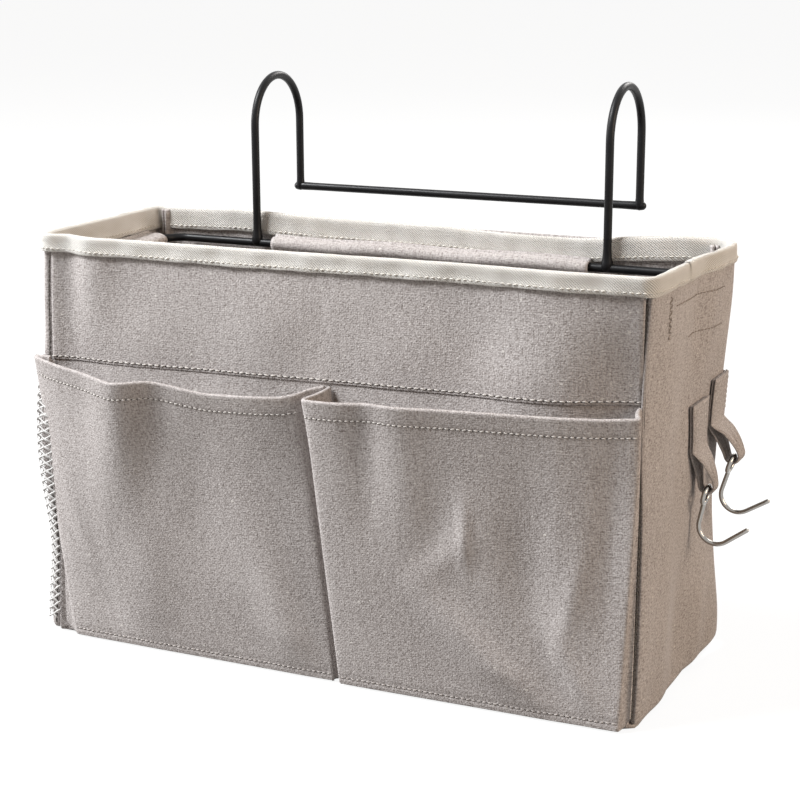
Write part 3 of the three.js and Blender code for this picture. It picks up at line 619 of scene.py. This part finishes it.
X, Y, Z = np.eye(3)
black_coat = powder_coat("black_coat")
bend_y = BAR_Y - WIRE_BEND
rim_path = np.concatenate([[[-ARM_X, BAR_Y - ARM_REACH, BAR_Z], [-ARM_X, bend_y - 20, BAR_Z]],
                           arc_points((WIRE_BEND - ARM_X, bend_y, BAR_Z), WIRE_BEND, 180, 90, X, Y),
                           arc_points((ARM_X - WIRE_BEND, bend_y, BAR_Z), WIRE_BEND, 90, 0, X, Y),
                           [[ARM_X, bend_y - 20, BAR_Z], [ARM_X, BAR_Y - ARM_REACH, BAR_Z]]])
rim_wire = finish_with(bent_wire("rim_bar", rim_path, Z, WIRE), black_coat)
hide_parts("rim_wire")
for side, node in ((-HOOK_X, "left_rail_hook"), (HOOK_X, "right_rail_hook")):
    arch = arc_points((side, BAR_Y + ARCH, ARCH_Z), ARCH, 180, 0, Y, Z, 30)
    leg = np.linspace(BAR_Z + 1, ARCH_Z - 3, 26)
    tail = np.linspace(ARCH_Z - 3, CROSS_Z, 18)
    path = np.concatenate([together(side, BAR_Y, leg), arch, together(side, CROSS_Y, tail)])
    from_ends = np.minimum(path[:, 2] - BAR_Z, 40)
    weld = 2.3 * np.exp(-(from_ends / 5.0) ** 2) * (path[:, 1] < 60)
    bead = 0.8 * np.exp(-((path[:, 2] - CROSS_Z) / 2.5) ** 2) * (path[:, 1] > 100)
    hook = finish_with(bent_wire(node + "_wire", path, X, WIRE + weld + bead), black_coat)
    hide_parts(node)
cross_x = np.linspace(-106.5, 106.5, 40)
cross_path = together(cross_x, CROSS_Y, CROSS_Z)
cross_swell = 0.7 * np.exp(-((np.abs(cross_x) - 104) / 3) ** 2)
cross_bar = bent_wire("cross_bar_wire", cross_path, Z, WIRE + cross_swell)
finish_with(cross_bar, black_coat)
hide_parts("cross_bar")

# Sleeves: strips of the canvas sewn to the inside of the back and of each side, above and below the wire. The
# back sleeve wraps the bar between the two hooks, and the side ones hold the arms.
SLEEVE_CLOTH = 0.9


def sleeve_section(gap):
    """Distance from the wall and height, from the upper margin over the wire to the lower margin."""
    over = np.radians(np.linspace(112, -35, 13))
    reach = WIRE / 2 + 1.5
    near = np.concatenate([[0.5, 1.1, 1.3], gap + reach * np.cos(over), np.linspace(gap + 1.9, 1.3, 9),
                           [1.1, 0.5]])
    tall = np.concatenate([[206, 205.6, 205], BAR_Z + reach * np.sin(over), np.linspace(196, 183, 9),
                           [181.6, 181]])
    return near, tall


def sleeve(name, along, place_of):
    """The section carried along a straight wall, with small puckers that grow towards the lower margin."""
    near, tall = sleeve_section(3.75)
    step = walked(together(near, tall))
    row, run = grid(np.arange(len(near)), along)
    pucker = 0.45 * np.sin(run / 4.3) * np.sin(run / 9.1 + 0.7) * within((199 - tall[row]) / 14)
    points = place_of(run, near[row] + pucker + SLEEVE_CLOTH, tall[row] + 0.4 * np.sin(run / 13.0))
    piece = lay_cloth(name, points, together(run, step[row]))
    return finish_with(thicken(piece, SLEEVE_CLOTH), canvas)


BACK_WALL = HALF_DEPTH - CANVAS - 0.9
SIDE_WALL = HALF_WIDTH - CANVAS - 0.9
back_sleeve = sleeve("back_sleeve_cloth", np.linspace(-95.5, 94, 96),
                     lambda run, near, tall: together(-run, BACK_WALL - near, tall))
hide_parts("back_sleeve")
right_sleeve = sleeve("right_sleeve_cloth", np.linspace(-33, 43, 40),
                      lambda run, near, tall: together(SIDE_WALL - near, run, tall))
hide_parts("right_sleeve")
left_sleeve = sleeve("left_sleeve_cloth", np.linspace(-43, 33, 40),
                     lambda run, near, tall: together(near - SIDE_WALL + lean_left(-HALF_WIDTH, -run, tall)
                                                      * (1 - near / 8.5), -run, tall))
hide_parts("left_sleeve")

# Binding: cream cotton twill tape with its raw edges turned in, folded over the whole rim and sewn through
# both legs. Its two ends lap on the right side. The rim is soft and waves a little along the back.
RIM_RUN = np.concatenate([[0, 80, RIGHT_FRONT], RIGHT_MIDDLE + np.array([-55, 18, 58]),
                          BACK_MIDDLE - np.array([150, 135, 113, 90, 50, 8, -68, -121, -150]),
                          LEFT_MIDDLE + np.array([-56, 0, 56]), [GIRTH - 100, GIRTH]])
RIM_HEIGHT = np.array([220.0, 220.6, 220.4, 220.2, 218.9, 219.0, 220.0, 219.4, 217.6, 215.4, 215.3, 217.0,
                       217.4, 219.0, 217.8, 217.6, 218.6, 219.6, 219.4, 220.0])


def rim_height(along):
    """Height of the rim: straight runs between measured places, rounded off over 16 mm."""
    reach = np.linspace(-8, 8, 9).reshape((9,) + (1,) * np.ndim(along))
    return np.interp((along + reach) % GIRTH, RIM_RUN, RIM_HEIGHT).mean(axis=0)


def tape_section():
    """Half of the folded tape after the other: distance out from the wall's face, and depth below the rim."""
    out = np.array([0.2, 0.8, 1.35, 1.55, 1.5, 1.35, 1.3, 1.3, 1.1, 0.4, -0.7, -1.9, -2.9, -3.3, -3.4, -3.4,
                    -3.5, -3.5, -3.3, -2.8, -2.3])
    low = np.array([8.9, 9.5, 9.4, 8.6, 7.2, 5.6, 4.0, 2.4, 1.0, 0.2, 0.0, 0.15, 0.9, 2.2, 4.5, 7.0, 9.4,
                    11.6, 12.6, 12.9, 12.3])
    fine = np.linspace(0, len(out) - 1, 3 * len(out) - 2)
    return np.interp(fine, np.arange(len(out)), out), np.interp(fine, np.arange(len(low)), low)


def folded_tape(name, start, end, proud=0.0):
    """The section carried along the rim, its edges wandering by a few tenths of a millimetre."""
    out, low = tape_section()
    step = walked(together(out, low))
    row, run = grid(np.arange(len(out)), np.linspace(start, end, int((end - start) / 2.0)))
    wander = 0.28 * np.sin(run / 7.1) + 0.22 * np.sin(run / 17.3 + 2.0) + 0.16 * np.sin(run / 3.1)
    depth = low[row] * (1 + 0.03 * wander) + 0.25 * wander * (low[row] > 5)
    puff = 0.16 * np.sin(run / 5.3 + low[row] / 3) + 0.12 * np.sin(run / 2.3)
    top = rim_height(run)
    face = wall_face(run, top - depth)
    way = wall_face(run, top - depth, 1.0) - face
    lift = out[row] + np.sign(out[row] + 1.0) * (puff + proud)
    points = face + way * lift[..., None] + np.array([0, 0, proud])
    return lay_cloth(name, points, together(run, step[row]))


def twill_tape(name):
    """Twill: ribs 1.3 mm apart, across the tape at a slant, with painted shade darkening the furrows and a
    slightly fuzzy tone.
    """
    material, tree, surface = new_finish(name)
    spots = add_node(tree, "ShaderNodeSeparateXYZ", {0: cloth_places(tree, 4200, 5000)}).outputs
    slant = reckon(tree, "ADD", spots[0], spots[1])
    rib = reckon(tree, "SINE", reckon(tree, "MULTIPLY_ADD", cloth_noise(tree, 260, 260), 3.0, slant))
    # The rib also darkens the colour in its furrows: painted shade, beside the rib's real bump.
    tone = reckon(tree, "MULTIPLY_ADD", rib, 0.20, cloth_noise(tree, 30, 80, 4.0))
    shade = tone_ramp(tree, tone, (0.22, (0.76, 0.725, 0.66, 1)), (0.62, (0.94, 0.92, 0.88, 1)))
    join(tree, surface, {"Base Color": shade, "Roughness": 0.9, "Specular IOR Level": 0.2,
                         "Sheen Weight": 0.15, "Normal": relief(tree, rib, 0.8, 0.0005)})
    return material


twill = twill_tape("cream_twill")
LAP_JOIN = RIGHT_MIDDLE - 8
binding = finish_with(folded_tape("rim_tape", LAP_JOIN, LAP_JOIN + GIRTH), twill)
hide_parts("rim_binding")
lap_end = folded_tape("rim_tape_lap", LAP_JOIN - 3, LAP_JOIN + 13, proud=0.3)
finish_with(lap_end, twill)
cream_thread = twisted_thread("cream_thread", (0.56, 0.53, 0.47, 1), (0.80, 0.77, 0.72, 1))
rim_run = np.linspace(0, GIRTH, 600)
outer_line = wall_line(rim_run, rim_height(rim_run) - 7.6, 1.55)
sew("rim_stitches", *outer_line, cream_thread, pitch=3.3, length=2.3, width=0.75)
inner_place, inner_way = wall_line(rim_run, rim_height(rim_run) - 10.6, -3.55)
sew("rim_inner_stitches", inner_place, -inner_way, cream_thread, pitch=3.3, length=2.3, width=0.75)

# Front pockets: one layer of the canvas each, hemmed at the mouth, sewn into the bottom seam and, with a
# folded side, to the front panel at each end. The left one gapes, and its inner end tucks behind the right
# one.
POCKET_CLOTH = 1.1
POCKET_FOOT = 0.8
HEM = 8.0
HEM_ROLL = 1.15
FOOT_STITCHES = 4.6
FOOT_DRAWN_UP = 6.0
POCKET_SEAT = -HALF_DEPTH + YOKE_CLOTH
SIDE_POINTS = 18
FACE_POINTS = 120
MIDDLE_COLUMN = FACE_POINTS // 2
# Rows of a pocket by the share of the way up it; columns from -1 at its left seam, by 0 and 1 at the two edges
# of its face, to 2 at its right seam
POCKET_RISE = np.concatenate([[0, 0.002, 0.005, 0.01, 0.016, 0.024], np.linspace(0.034, 0.92, 50),
                              np.linspace(0.926, 1, 16)])
POCKET_CELLS = np.concatenate([np.linspace(-1, 0, SIDE_POINTS)[:-1], np.linspace(0, 1, FACE_POINTS),
                               np.linspace(1, 2, SIDE_POINTS)[1:]])
# Soft folds of the two pockets, as for the walls, with distances from the front's middle to the right
LEFT_FOLDS = [
    (-99, 235, -120, 50, 17, 7.0), (-82, 235, -98, 60, 12, -2.6), (-166, 120, -122, 4, 7, 2.4),
    (-158, 92, -112, -16, 9, -2.8), (-110, 110, -94, -20, 14, 1.8), (13, -70, -50, 120, 13, 3.0),
    (-72, 150, -64, 30, 15, -2.0), (-46, 200, -18, 90, 20, 1.8),
]
RIGHT_FOLDS = [
    (29, 215, 32, 60, 9, -2.4), (48, 210, 52, 60, 11, 1.7), (111, 150, 114, 20, 15, -2.6),
    (80, 122, 82, 60, 3.4, 1.5), (92, 100, 46, 52, 7, 1.0), (165, -36, 34, 79, 9, 3.4),
    (142, 106, 126, 18, 5, 1.3), (165, -25, 105, 80, 6, 1.8), (98, 116, 142, -16, 11, -2.2),
    (71, 132, 65, 62, 10, -1.4), (153, 180, 151, 10, 9, -2.4),
]


def pocket_face(edges, depths, seams, pulls, swell, lean, hem_heights, folds):
    """Outer side of a pocket, its face and folded sides in one grid, and how far below the mouth each point
    is. An edge is its place at the foot, its place at the mouth and how far it bows between them; a depth is
    one at the foot and one at the mouth. Between the two edges the face lies at a depth that runs from one
    edge's to the other's, plus a swell, a blunt half sine that lean draws to the left, and the folds. From
    each edge the side goes to its seam on the box, which is a place along the plan, as a curve drawn off its
    chord by a pull. The foot of the outer side is drawn up."""
    up, cell = grid(POCKET_RISE, POCKET_CELLS)
    part = within(cell)
    mouth = np.interp(cell, hem_heights[0], hem_heights[1])
    z = POCKET_FOOT + up * (mouth - POCKET_FOOT)
    left, right = (foot + (top - foot) * (up + bend * up * (1 - up)) for foot, top, bend in edges)
    left_depth, right_depth = (foot + (top - foot) * up ** 1.25 for foot, top in depths)
    x = left + (right - left) * part
    z = z + FOOT_DRAWN_UP * (cell - part) ** 2 * np.exp(-z / 7) * (np.abs(x) > 100)
    bow = within(np.sin(np.pi * part ** lean)) ** np.where(part ** lean < 0.5, 0.75, 0.5)
    depth = left_depth + (right_depth - left_depth) * part + (0.5 + swell * up ** 1.2) * bow
    depth = depth + crease(x, z, folds) * within(bow * 3) * np.clip(z / 22, 0.1, 1)
    below = (1 - up) * (mouth - POCKET_FOOT)
    hemmed = 0.15 / (1 + np.exp((below - HEM) * 4)) - 0.15 * np.exp(-((below - HEM) / 0.7) ** 2)
    hemmed = hemmed + 2.2 * within(1 - below / 40) ** 2
    sewn = -0.35 * np.exp(-(z - FOOT_STITCHES) ** 2) - 0.4 * within(1 - z / 3)
    y = POCKET_SEAT - front_swell(x, z) - foot_flare(z) - np.maximum(depth + hemmed + sewn, 0.55)
    plan = together(x, y)
    for beside, edge_column, seam, pull in zip((-cell, cell - 1), (SIDE_POINTS - 1, -SIDE_POINTS), seams, pulls):
        way = within(beside)[..., None]
        edge_at = plan[:, [edge_column]]
        seam_at = wall_face(seam[0] + (seam[1] - seam[0]) * up, z, 0.6)[..., :2]
        low_pull, high_pull = np.array(pull)
        drawn = (edge_at + seam_at) / 2 + low_pull * (1 - up[..., None]) + high_pull * up[..., None]
        side = (1 - way) ** 2 * edge_at + 2 * way * (1 - way) * drawn + way ** 2 * seam_at
        plan = np.where(way > 0, side, plan)
    plan[:, 1:-1] = 0.25 * plan[:, :-2] + 0.5 * plan[:, 1:-1] + 0.25 * plan[:, 2:]
    return np.concatenate([plan, z[..., None]], axis=-1), below


def with_hem(face):
    """The face's rows and then the hem's: a half circle over the mouth, and down inside it."""
    ahead = np.gradient(face[-1], axis=0)
    out = unit(together(ahead[:, 1], -ahead[:, 0], np.zeros(len(ahead))))
    roll = np.radians(np.linspace(20, 180, 8))[:, None, None]
    over = face[-1] - out * HEM_ROLL * (1 - np.cos(roll)) + Z * HEM_ROLL * np.sin(roll)
    inside = face[[-3, -6, -9, -12]] - out * 2 * HEM_ROLL
    return np.concatenate([face, over, inside])


def pocket(name, **shape):
    """One pocket of the shape that pocket_face describes, and its stitches along the hem and the foot. On
    the flat cloth a point's place is its distance along its row from the middle, and its row's height."""
    face, below = pocket_face(**shape)
    points = with_hem(face)
    step = np.linalg.norm(np.diff(points, axis=1), axis=-1)
    wide = np.concatenate([np.zeros((len(points), 1)), np.cumsum(step, axis=1)], axis=1)
    drop = np.concatenate([POCKET_FOOT + POCKET_RISE * 146, 148 + np.linspace(0, 3.4, 8),
                           152 + np.linspace(1, HEM, 4)])
    cut = together(wide - wide[:, [MIDDLE_COLUMN]], drop[:, None])
    piece = finish_with(thicken(lay_cloth(name, points, cut), POCKET_CLOTH), canvas)
    look = unit(np.cross(np.gradient(face, axis=1), np.gradient(face, axis=0)))
    hem_row = np.argmin(np.abs(below[:, MIDDLE_COLUMN] - HEM))
    foot_row = np.argmin(np.abs(face[:, MIDDLE_COLUMN, 2] - FOOT_STITCHES))
    face_only = slice(SIDE_POINTS, -SIDE_POINTS)
    for part, row, thread in (("hem", hem_row, pale_thread), ("foot", foot_row, taupe_thread)):
        line, facing = face[row, face_only] + look[row, face_only] * 0.12, look[row, face_only]
        sew(f"{name}_{part}_stitches", line, facing, thread, pitch=2.9, length=2.0, width=0.7, height=0.4)
        # The dark beads between the stitches are painted shade of the needle holes.
        sew(f"{name}_{part}_holes", line, facing, painted_hole_shade, pitch=2.9, length=0.8, width=0.6, height=0.2,
            shift=0.0)
    return piece


left_pocket = pocket("left_pocket", edges=((-151.0, -175.0, 0.55), (7.2, -10.4, 0)),
                     depths=((3.4, 1.5), (4.0, 7.0)), seams=((-157.5, -162.0), (8.4, -0.8)),
                     pulls=(((2, 1), (4, 0)), ((-3, 0), (-2, 2))), swell=13.0, lean=0.68, folds=LEFT_FOLDS,
                     hem_heights=((-1, 0, 0.385, 0.49, 0.70, 0.95, 1, 2),
                                  (153.5, 153.3, 149, 150.5, 147, 148.5, 150, 153)))
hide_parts("left_front_pocket")
right_pocket = pocket("right_pocket", edges=((10.4, -4.6, 0), (159.3, 164.5, 0)),
                      depths=((5.8, 16.0), (4.2, 2.6)), seams=((11.4, 0.8), (163.8, 163.4)),
                      pulls=(((4, 0), (3, 2)), ((-0.5, 3), (-2, 0))), swell=7.0, lean=0.5, folds=RIGHT_FOLDS,
                      hem_heights=((-1, 0, 0.1, 0.25, 0.5, 0.9, 1, 2),
                                   (153, 150.5, 151, 152, 152.5, 153, 154, 156)))
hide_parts("right_front_pocket")

# Net pocket: white knitted net with open diamonds, gathered into the side seams so that it bags out, under a
# band of canvas at the mouth.
NET_FOOT = 7.0
NET_TOP = 143.0
NET_MOUTH = 152.0
NET_CELL = 4.5
STRAND_WIDE = 0.62
STRAND_THICK = 0.40
NET_BACK = PLAN_RUN[6] - 5
NET_FRONT = PLAN_RUN[8] + 0.5
NET_REACH = NET_FRONT - NET_BACK
NET_TALL = NET_TOP - NET_FOOT


def net_face(across, height):
    """The net from the back seam round to the front seam, measured along the box: it lies on the box at both
    seams, runs close round the front corner and bags out along the side, further towards its mouth."""
    from_back, from_front = across, NET_REACH - across
    up = within((height - NET_FOOT) / (NET_MOUTH - NET_FOOT))
    close = 0.6 + (0.8 + 0.7 * up) * within(from_front / 5) ** 0.5 * within(from_back / 5) ** 0.5
    bag = (6.0 + 2.0 * up ** 0.75) * np.sin(np.pi / 2 * within((from_front - 8) / 22)) ** 2
    bag = bag * np.sin(np.pi / 2 * within((from_back - 8) / 22)) ** 2
    return wall_face(NET_BACK + across, height, close + bag + 0.4 * np.sin(across / 6.0) * up)


def net_strands(slope):
    """One family of strands: each climbs across the net at 45 degrees from one border to another, waving in
    front of and behind the others. A strand is a flat oval of five points carried along it, drawn to a point
    at each end."""
    start = np.arange(1 - int(NET_TALL / NET_CELL), int(NET_REACH / NET_CELL)) * NET_CELL
    start = start if slope > 0 else start + NET_TALL
    low = np.maximum(0, -start if slope > 0 else start - NET_REACH)
    high = np.minimum(NET_TALL, NET_REACH - start if slope > 0 else start)
    long_enough = high - low > NET_CELL / 2
    start, low, high = start[long_enough], low[long_enough], high[long_enough]
    step = np.linspace(0, 1, int(2.5 * NET_TALL / NET_CELL))
    rise = low[:, None] + (high - low)[:, None] * step
    along = start[:, None] + slope * rise
    height = NET_FOOT + rise
    here = net_face(along, height)
    out = unit(np.cross(net_face(along + 0.5, height) - net_face(along - 0.5, height),
                        net_face(along, height + 0.5) - net_face(along, height - 0.5)))
    beside = unit(np.cross(out, np.gradient(here, axis=1)))
    lace = 0.3 * slope * np.cos(2 * np.pi * rise / NET_CELL)
    turn = np.radians(np.arange(0, 361, 72))[:, None]
    size = (1 + 0.25 * np.cos(4 * np.pi * rise / NET_CELL)) * ((step > 0) & (step < 1))
    wide, thick = STRAND_WIDE * np.cos(turn), STRAND_THICK * np.sin(turn)
    oval = beside[:, :, None] * wide + out[:, :, None] * thick
    points = (here + out * lace[..., None])[:, :, None] + oval * size[..., None, None]
    number = np.arange(points[..., 0].size).reshape(points.shape[:3])
    return points.reshape(-1, 3), grid_faces(number)


def knitted_net(name):
    """White thread with a fine knitted grain."""
    material = twisted_thread(name, (0.48, 0.475, 0.465, 1), (0.66, 0.65, 0.64, 1))
    material.node_tree.nodes["Principled BSDF"].inputs["Sheen Weight"].default_value = 0.2
    return material


rising_points, rising_faces = net_strands(1)
falling_points, falling_faces = net_strands(-1)
net_points = np.concatenate([rising_points, falling_points])
net_faces = np.concatenate([rising_faces, falling_faces + len(rising_points)])
net = make_piece("side_net", net_points, net_faces, np.zeros((len(net_points), 2)))
finish_with(net, knitted_net("white_net"))
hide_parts("net_panel", "net_front_wedge", "net_rear_wedge")
roll = np.concatenate([[(-1.2, 142.2), (0.2, 141.6)], [(0.7, 142.6), (0.8, 147), (0.7, 151)],
                       [(0.2, 151.9), (-0.6, 152.1), (-1.2, 151.4), (-1.3, 147), (-1.2, 142.8)]])
row, along = grid(np.arange(len(roll)), np.linspace(0, NET_REACH, 120))
band_way = np.gradient(net_face(along, roll[row, 1]), axis=1)
band_out = np.cross(band_way, Z) / np.linalg.norm(band_way, axis=-1, keepdims=True)
band_stands = roll[row, 0] + 0.3 * np.sin(along / 3.1)
band = lay_cloth("net_band", net_face(along, roll[row, 1]) + band_out * band_stands[..., None],
                 together(along, walked(roll)[row]))
finish_with(band, canvas)
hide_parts("net_mouth_band")

# Strap tabs: a folded strip of the canvas each, sewn to the right side with a box of stitches. The free end
# goes through the eye of a key hook, where it is pinched, so the strap bends outwards below the stitching.
STRAP = 1.25
STRAP_HALF = 13.0
STITCHED = 23.0
BEND_BELOW = 1.6
STRAP_GAP = 0.3
OUTER_LAYER = 2.1
BETWEEN_LAYERS = 1.3


def strap_line(lift):
    """Middle line of the strap seen from its edge: down the outer layer, round the eye, up the inner layer.
    Below the stitching it is turned outwards by lift, in degrees. Distance from the wall's face, height."""
    swing = np.linspace(0, 1, 14)[:, None]
    outer = together(np.full(14, OUTER_LAYER), np.linspace(STITCHED + 1.4, 1, 14))
    falling = ((1 - swing) ** 2 * np.array([OUTER_LAYER, 0]) + 2 * swing * (1 - swing) * np.array([7.6, -8])
               + swing ** 2 * np.array([7.6, -20]))
    half_turn = np.linspace(0, -np.pi, 15)[1:-1]
    round_eye = np.array([3.75, -20]) + 3.85 * together(np.cos(half_turn), np.sin(half_turn))
    inner_tall = np.linspace(-20, STITCHED + 1, 24)
    inner = together(np.interp(inner_tall, [-20, -8, 0, 1], [-0.1, 0.2, 0.75, 0.75]), inner_tall)
    line = np.concatenate([outer, falling, round_eye, inner])
    turn = np.radians(lift) * within((3 - line[:, 1]) / 9)
    near, tall = line[:, 0] - BETWEEN_LAYERS, line[:, 1]
    return together(BETWEEN_LAYERS + near * np.cos(turn) - tall * np.sin(turn) * (tall < 3),
                    near * np.sin(turn) + tall * np.cos(turn)), line


def box_stitches(name, front, back, low, high):
    """Stitches round an upright box on the outer layer of a strap, through both layers and the wall."""
    corners = np.array([(front, high), (back, high), (back, low), (front, low), (front, high)])
    along = np.linspace(0, 4, 121)
    y, z = (np.interp(along, np.arange(5), corners[:, k]) for k in (0, 1))
    x = wall_face(RIGHT_MIDDLE + y, z)[:, 0] + STRAP_GAP + OUTER_LAYER + STRAP / 2
    facing = np.tile(X, (len(along), 1))
    sew(name, together(x, y, z), facing, taupe_thread, pitch=2.6, length=1.9, width=0.65, height=0.22)


def strap_tab(name, middle, top, lift, neck, nodes):
    """The middle line carried over the strap's width, which narrows straight to the neck in the eye and lies
    to the back of it there, as a flat closed section: outer face one way across, inner face back."""
    bend = top - STITCHED - BEND_BELOW
    line, flat_line = strap_line(lift)
    ahead = unit(np.gradient(line, axis=0))
    off = together(-ahead[:, 1], ahead[:, 0])
    fall = within((0.5 - flat_line[:, 1]) / 18.0)
    half = STRAP_HALF + (neck / 2 - STRAP_HALF) * fall
    aside = neck / 3 * fall
    part = np.linspace(-1, 1, 25)
    loop = np.concatenate([part, part[::-1], part[:1]])
    face = np.concatenate([np.full(25, 0.5), np.full(25, -0.5), [0.5]])
    soft_edge = face * np.sqrt(np.clip(1 - np.abs(loop) ** 10, 0.06, 1)) * STRAP
    rows = np.concatenate([[0], np.arange(len(line)), [len(line) - 1]])
    row, column = grid(rows, np.arange(len(loop)))
    pleat = 0.5 * fall[row] * np.cos(3 * np.pi * loop[column]) * np.exp(-((flat_line[row, 1] + 13) / 9) ** 2)
    away = soft_edge[column] + pleat
    away[[0, -1]] = 0
    wander = 0.35 * np.sin(flat_line[row, 1] / 5 + middle)
    y = middle + half[row] * loop[column] + aside[row] + wander
    behind = wall_face(RIGHT_MIDDLE + y, bend + np.maximum(flat_line[row, 1], 0))[..., 0] - HALF_WIDTH
    points = together(HALF_WIDTH + STRAP_GAP + behind * (1 - fall[row]) + line[row, 0] + off[row, 0] * away,
                      y, bend + line[row, 1] + off[row, 1] * away)
    run = walked(line)
    cut = together(loop[column] * STRAP_HALF + 40 * face[column], run[row])
    piece = lay_cloth(name, points, cut, closed=True)
    piece.data.materials.append(canvas)
    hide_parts(*nodes)
    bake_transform(piece)
    box_stitches(f"{name}_stitches", middle - 10.5, middle + 10.5, bend + 5.5, top - 2.5)
    return piece


strap_tab("front_strap", 13.0, 146.0, 8.0, 7.4, ("front_tab_anchor", "front_tab_loop"))
strap_tab("rear_strap", 47.0, 152.0, 20.0, 12.0, ("rear_tab_anchor", "rear_tab_loop"))
brown_thread = twisted_thread("brown_thread", (0.20, 0.168, 0.142, 1), (0.33, 0.285, 0.25, 1))
for name, middle, start, end, count, height, slope in (
        ("arm_channel_upper", RIGHT_MIDDLE, -28, 42, 60, 200.5, -0.03),
        ("arm_channel_lower", RIGHT_MIDDLE, -5, 42, 44, 181.5, -0.03),
        ("left_channel_upper", LEFT_MIDDLE, -42, 28, 60, 200.5, 0),
        ("left_channel_lower", LEFT_MIDDLE, -42, 28, 60, 181.5, 0),
        ("bar_channel_upper", BACK_MIDDLE, -94, 95, 120, 205.0, 0),
        ("bar_channel_lower", BACK_MIDDLE, -94, 95, 120, 182.0, 0)):
    channel = np.linspace(start, end, count)
    sew(name, *wall_line(middle + channel, height + slope * channel), brown_thread)
zigzag = np.linspace(207, 186, 40)
zigzag_run = RIGHT_MIDDLE - 36 + 0.9 * np.sign(np.sin(zigzag * 1.9))
sew("arm_channel_end", *wall_line(zigzag_run, zigzag), brown_thread, pitch=1.9)

# Key hooks: bright nickel-plated wire, one for each strap. The wire is bent into an oval eye that the strap
# goes through, a straight shank and an open hook whose tip points up and away from the wall.
HOOK_WIRE = 2.4
EYE_WIDE = 5.5
EYE_TALL = 4.5
SHANK = 19.5
HOOK_BEND = 9.0
TIP_ANGLE = 48


def bright_nickel(name):
    """Nickel plate: a metal surface whose gloss is broken by fine marks of drawing along the wire."""
    material, tree, surface = new_finish(name)
    drawn = cloth_noise(tree, 2600, 120, 3.0)
    join(tree, surface, {"Base Color": between(tree, drawn, (0.20, 0.187, 0.172, 1), (0.50, 0.478, 0.447, 1)),
                         "Roughness": rescale(tree, drawn, 0.0, 1.0, 0.08, 0.30), "Metallic": 1.0})
    return material


nickel = bright_nickel("nickel")
pivots = {joint["name"]: np.array(joint["pos_m"]) / MM for joint in frame["record"]["behaviour"]["joints"]}
for body, lean in (("front_hook", 12.0), ("rear_hook", 17.0)):
    turn = np.radians(lean)
    lean_x = np.array([np.cos(turn), 0, -np.sin(turn)])
    lean_z = np.array([np.sin(turn), 0, np.cos(turn)])
    top = pivots[body + "_swing"]
    around = np.radians(np.linspace(-90, 270, 49))[:, None]
    eye_path = top - EYE_TALL * lean_z + EYE_WIDE * np.cos(around) * Y + EYE_TALL * np.sin(around) * lean_z
    eye = bent_wire(body + "_eye", eye_path, lean_x, HOOK_WIRE, 12)
    foot = top - SHANK * lean_z
    sweep = arc_points(foot + HOOK_BEND * lean_x, HOOK_BEND, 180, 270 + TIP_ANGLE, lean_x, lean_z, 20)
    heading = np.cos(np.radians(TIP_ANGLE)) * lean_x + np.sin(np.radians(TIP_ANGLE)) * lean_z
    shank = np.concatenate([top - np.linspace(8.6, SHANK - 1, 8)[:, None] * lean_z, sweep,
                            sweep[-1] + np.linspace(2, 13, 8)[:, None] * heading])
    wire = bent_wire(body + "_wire", shank, Y, HOOK_WIRE, 12)
    finish_with(eye, nickel, body)
    finish_with(wire, nickel, body)
    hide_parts(body)
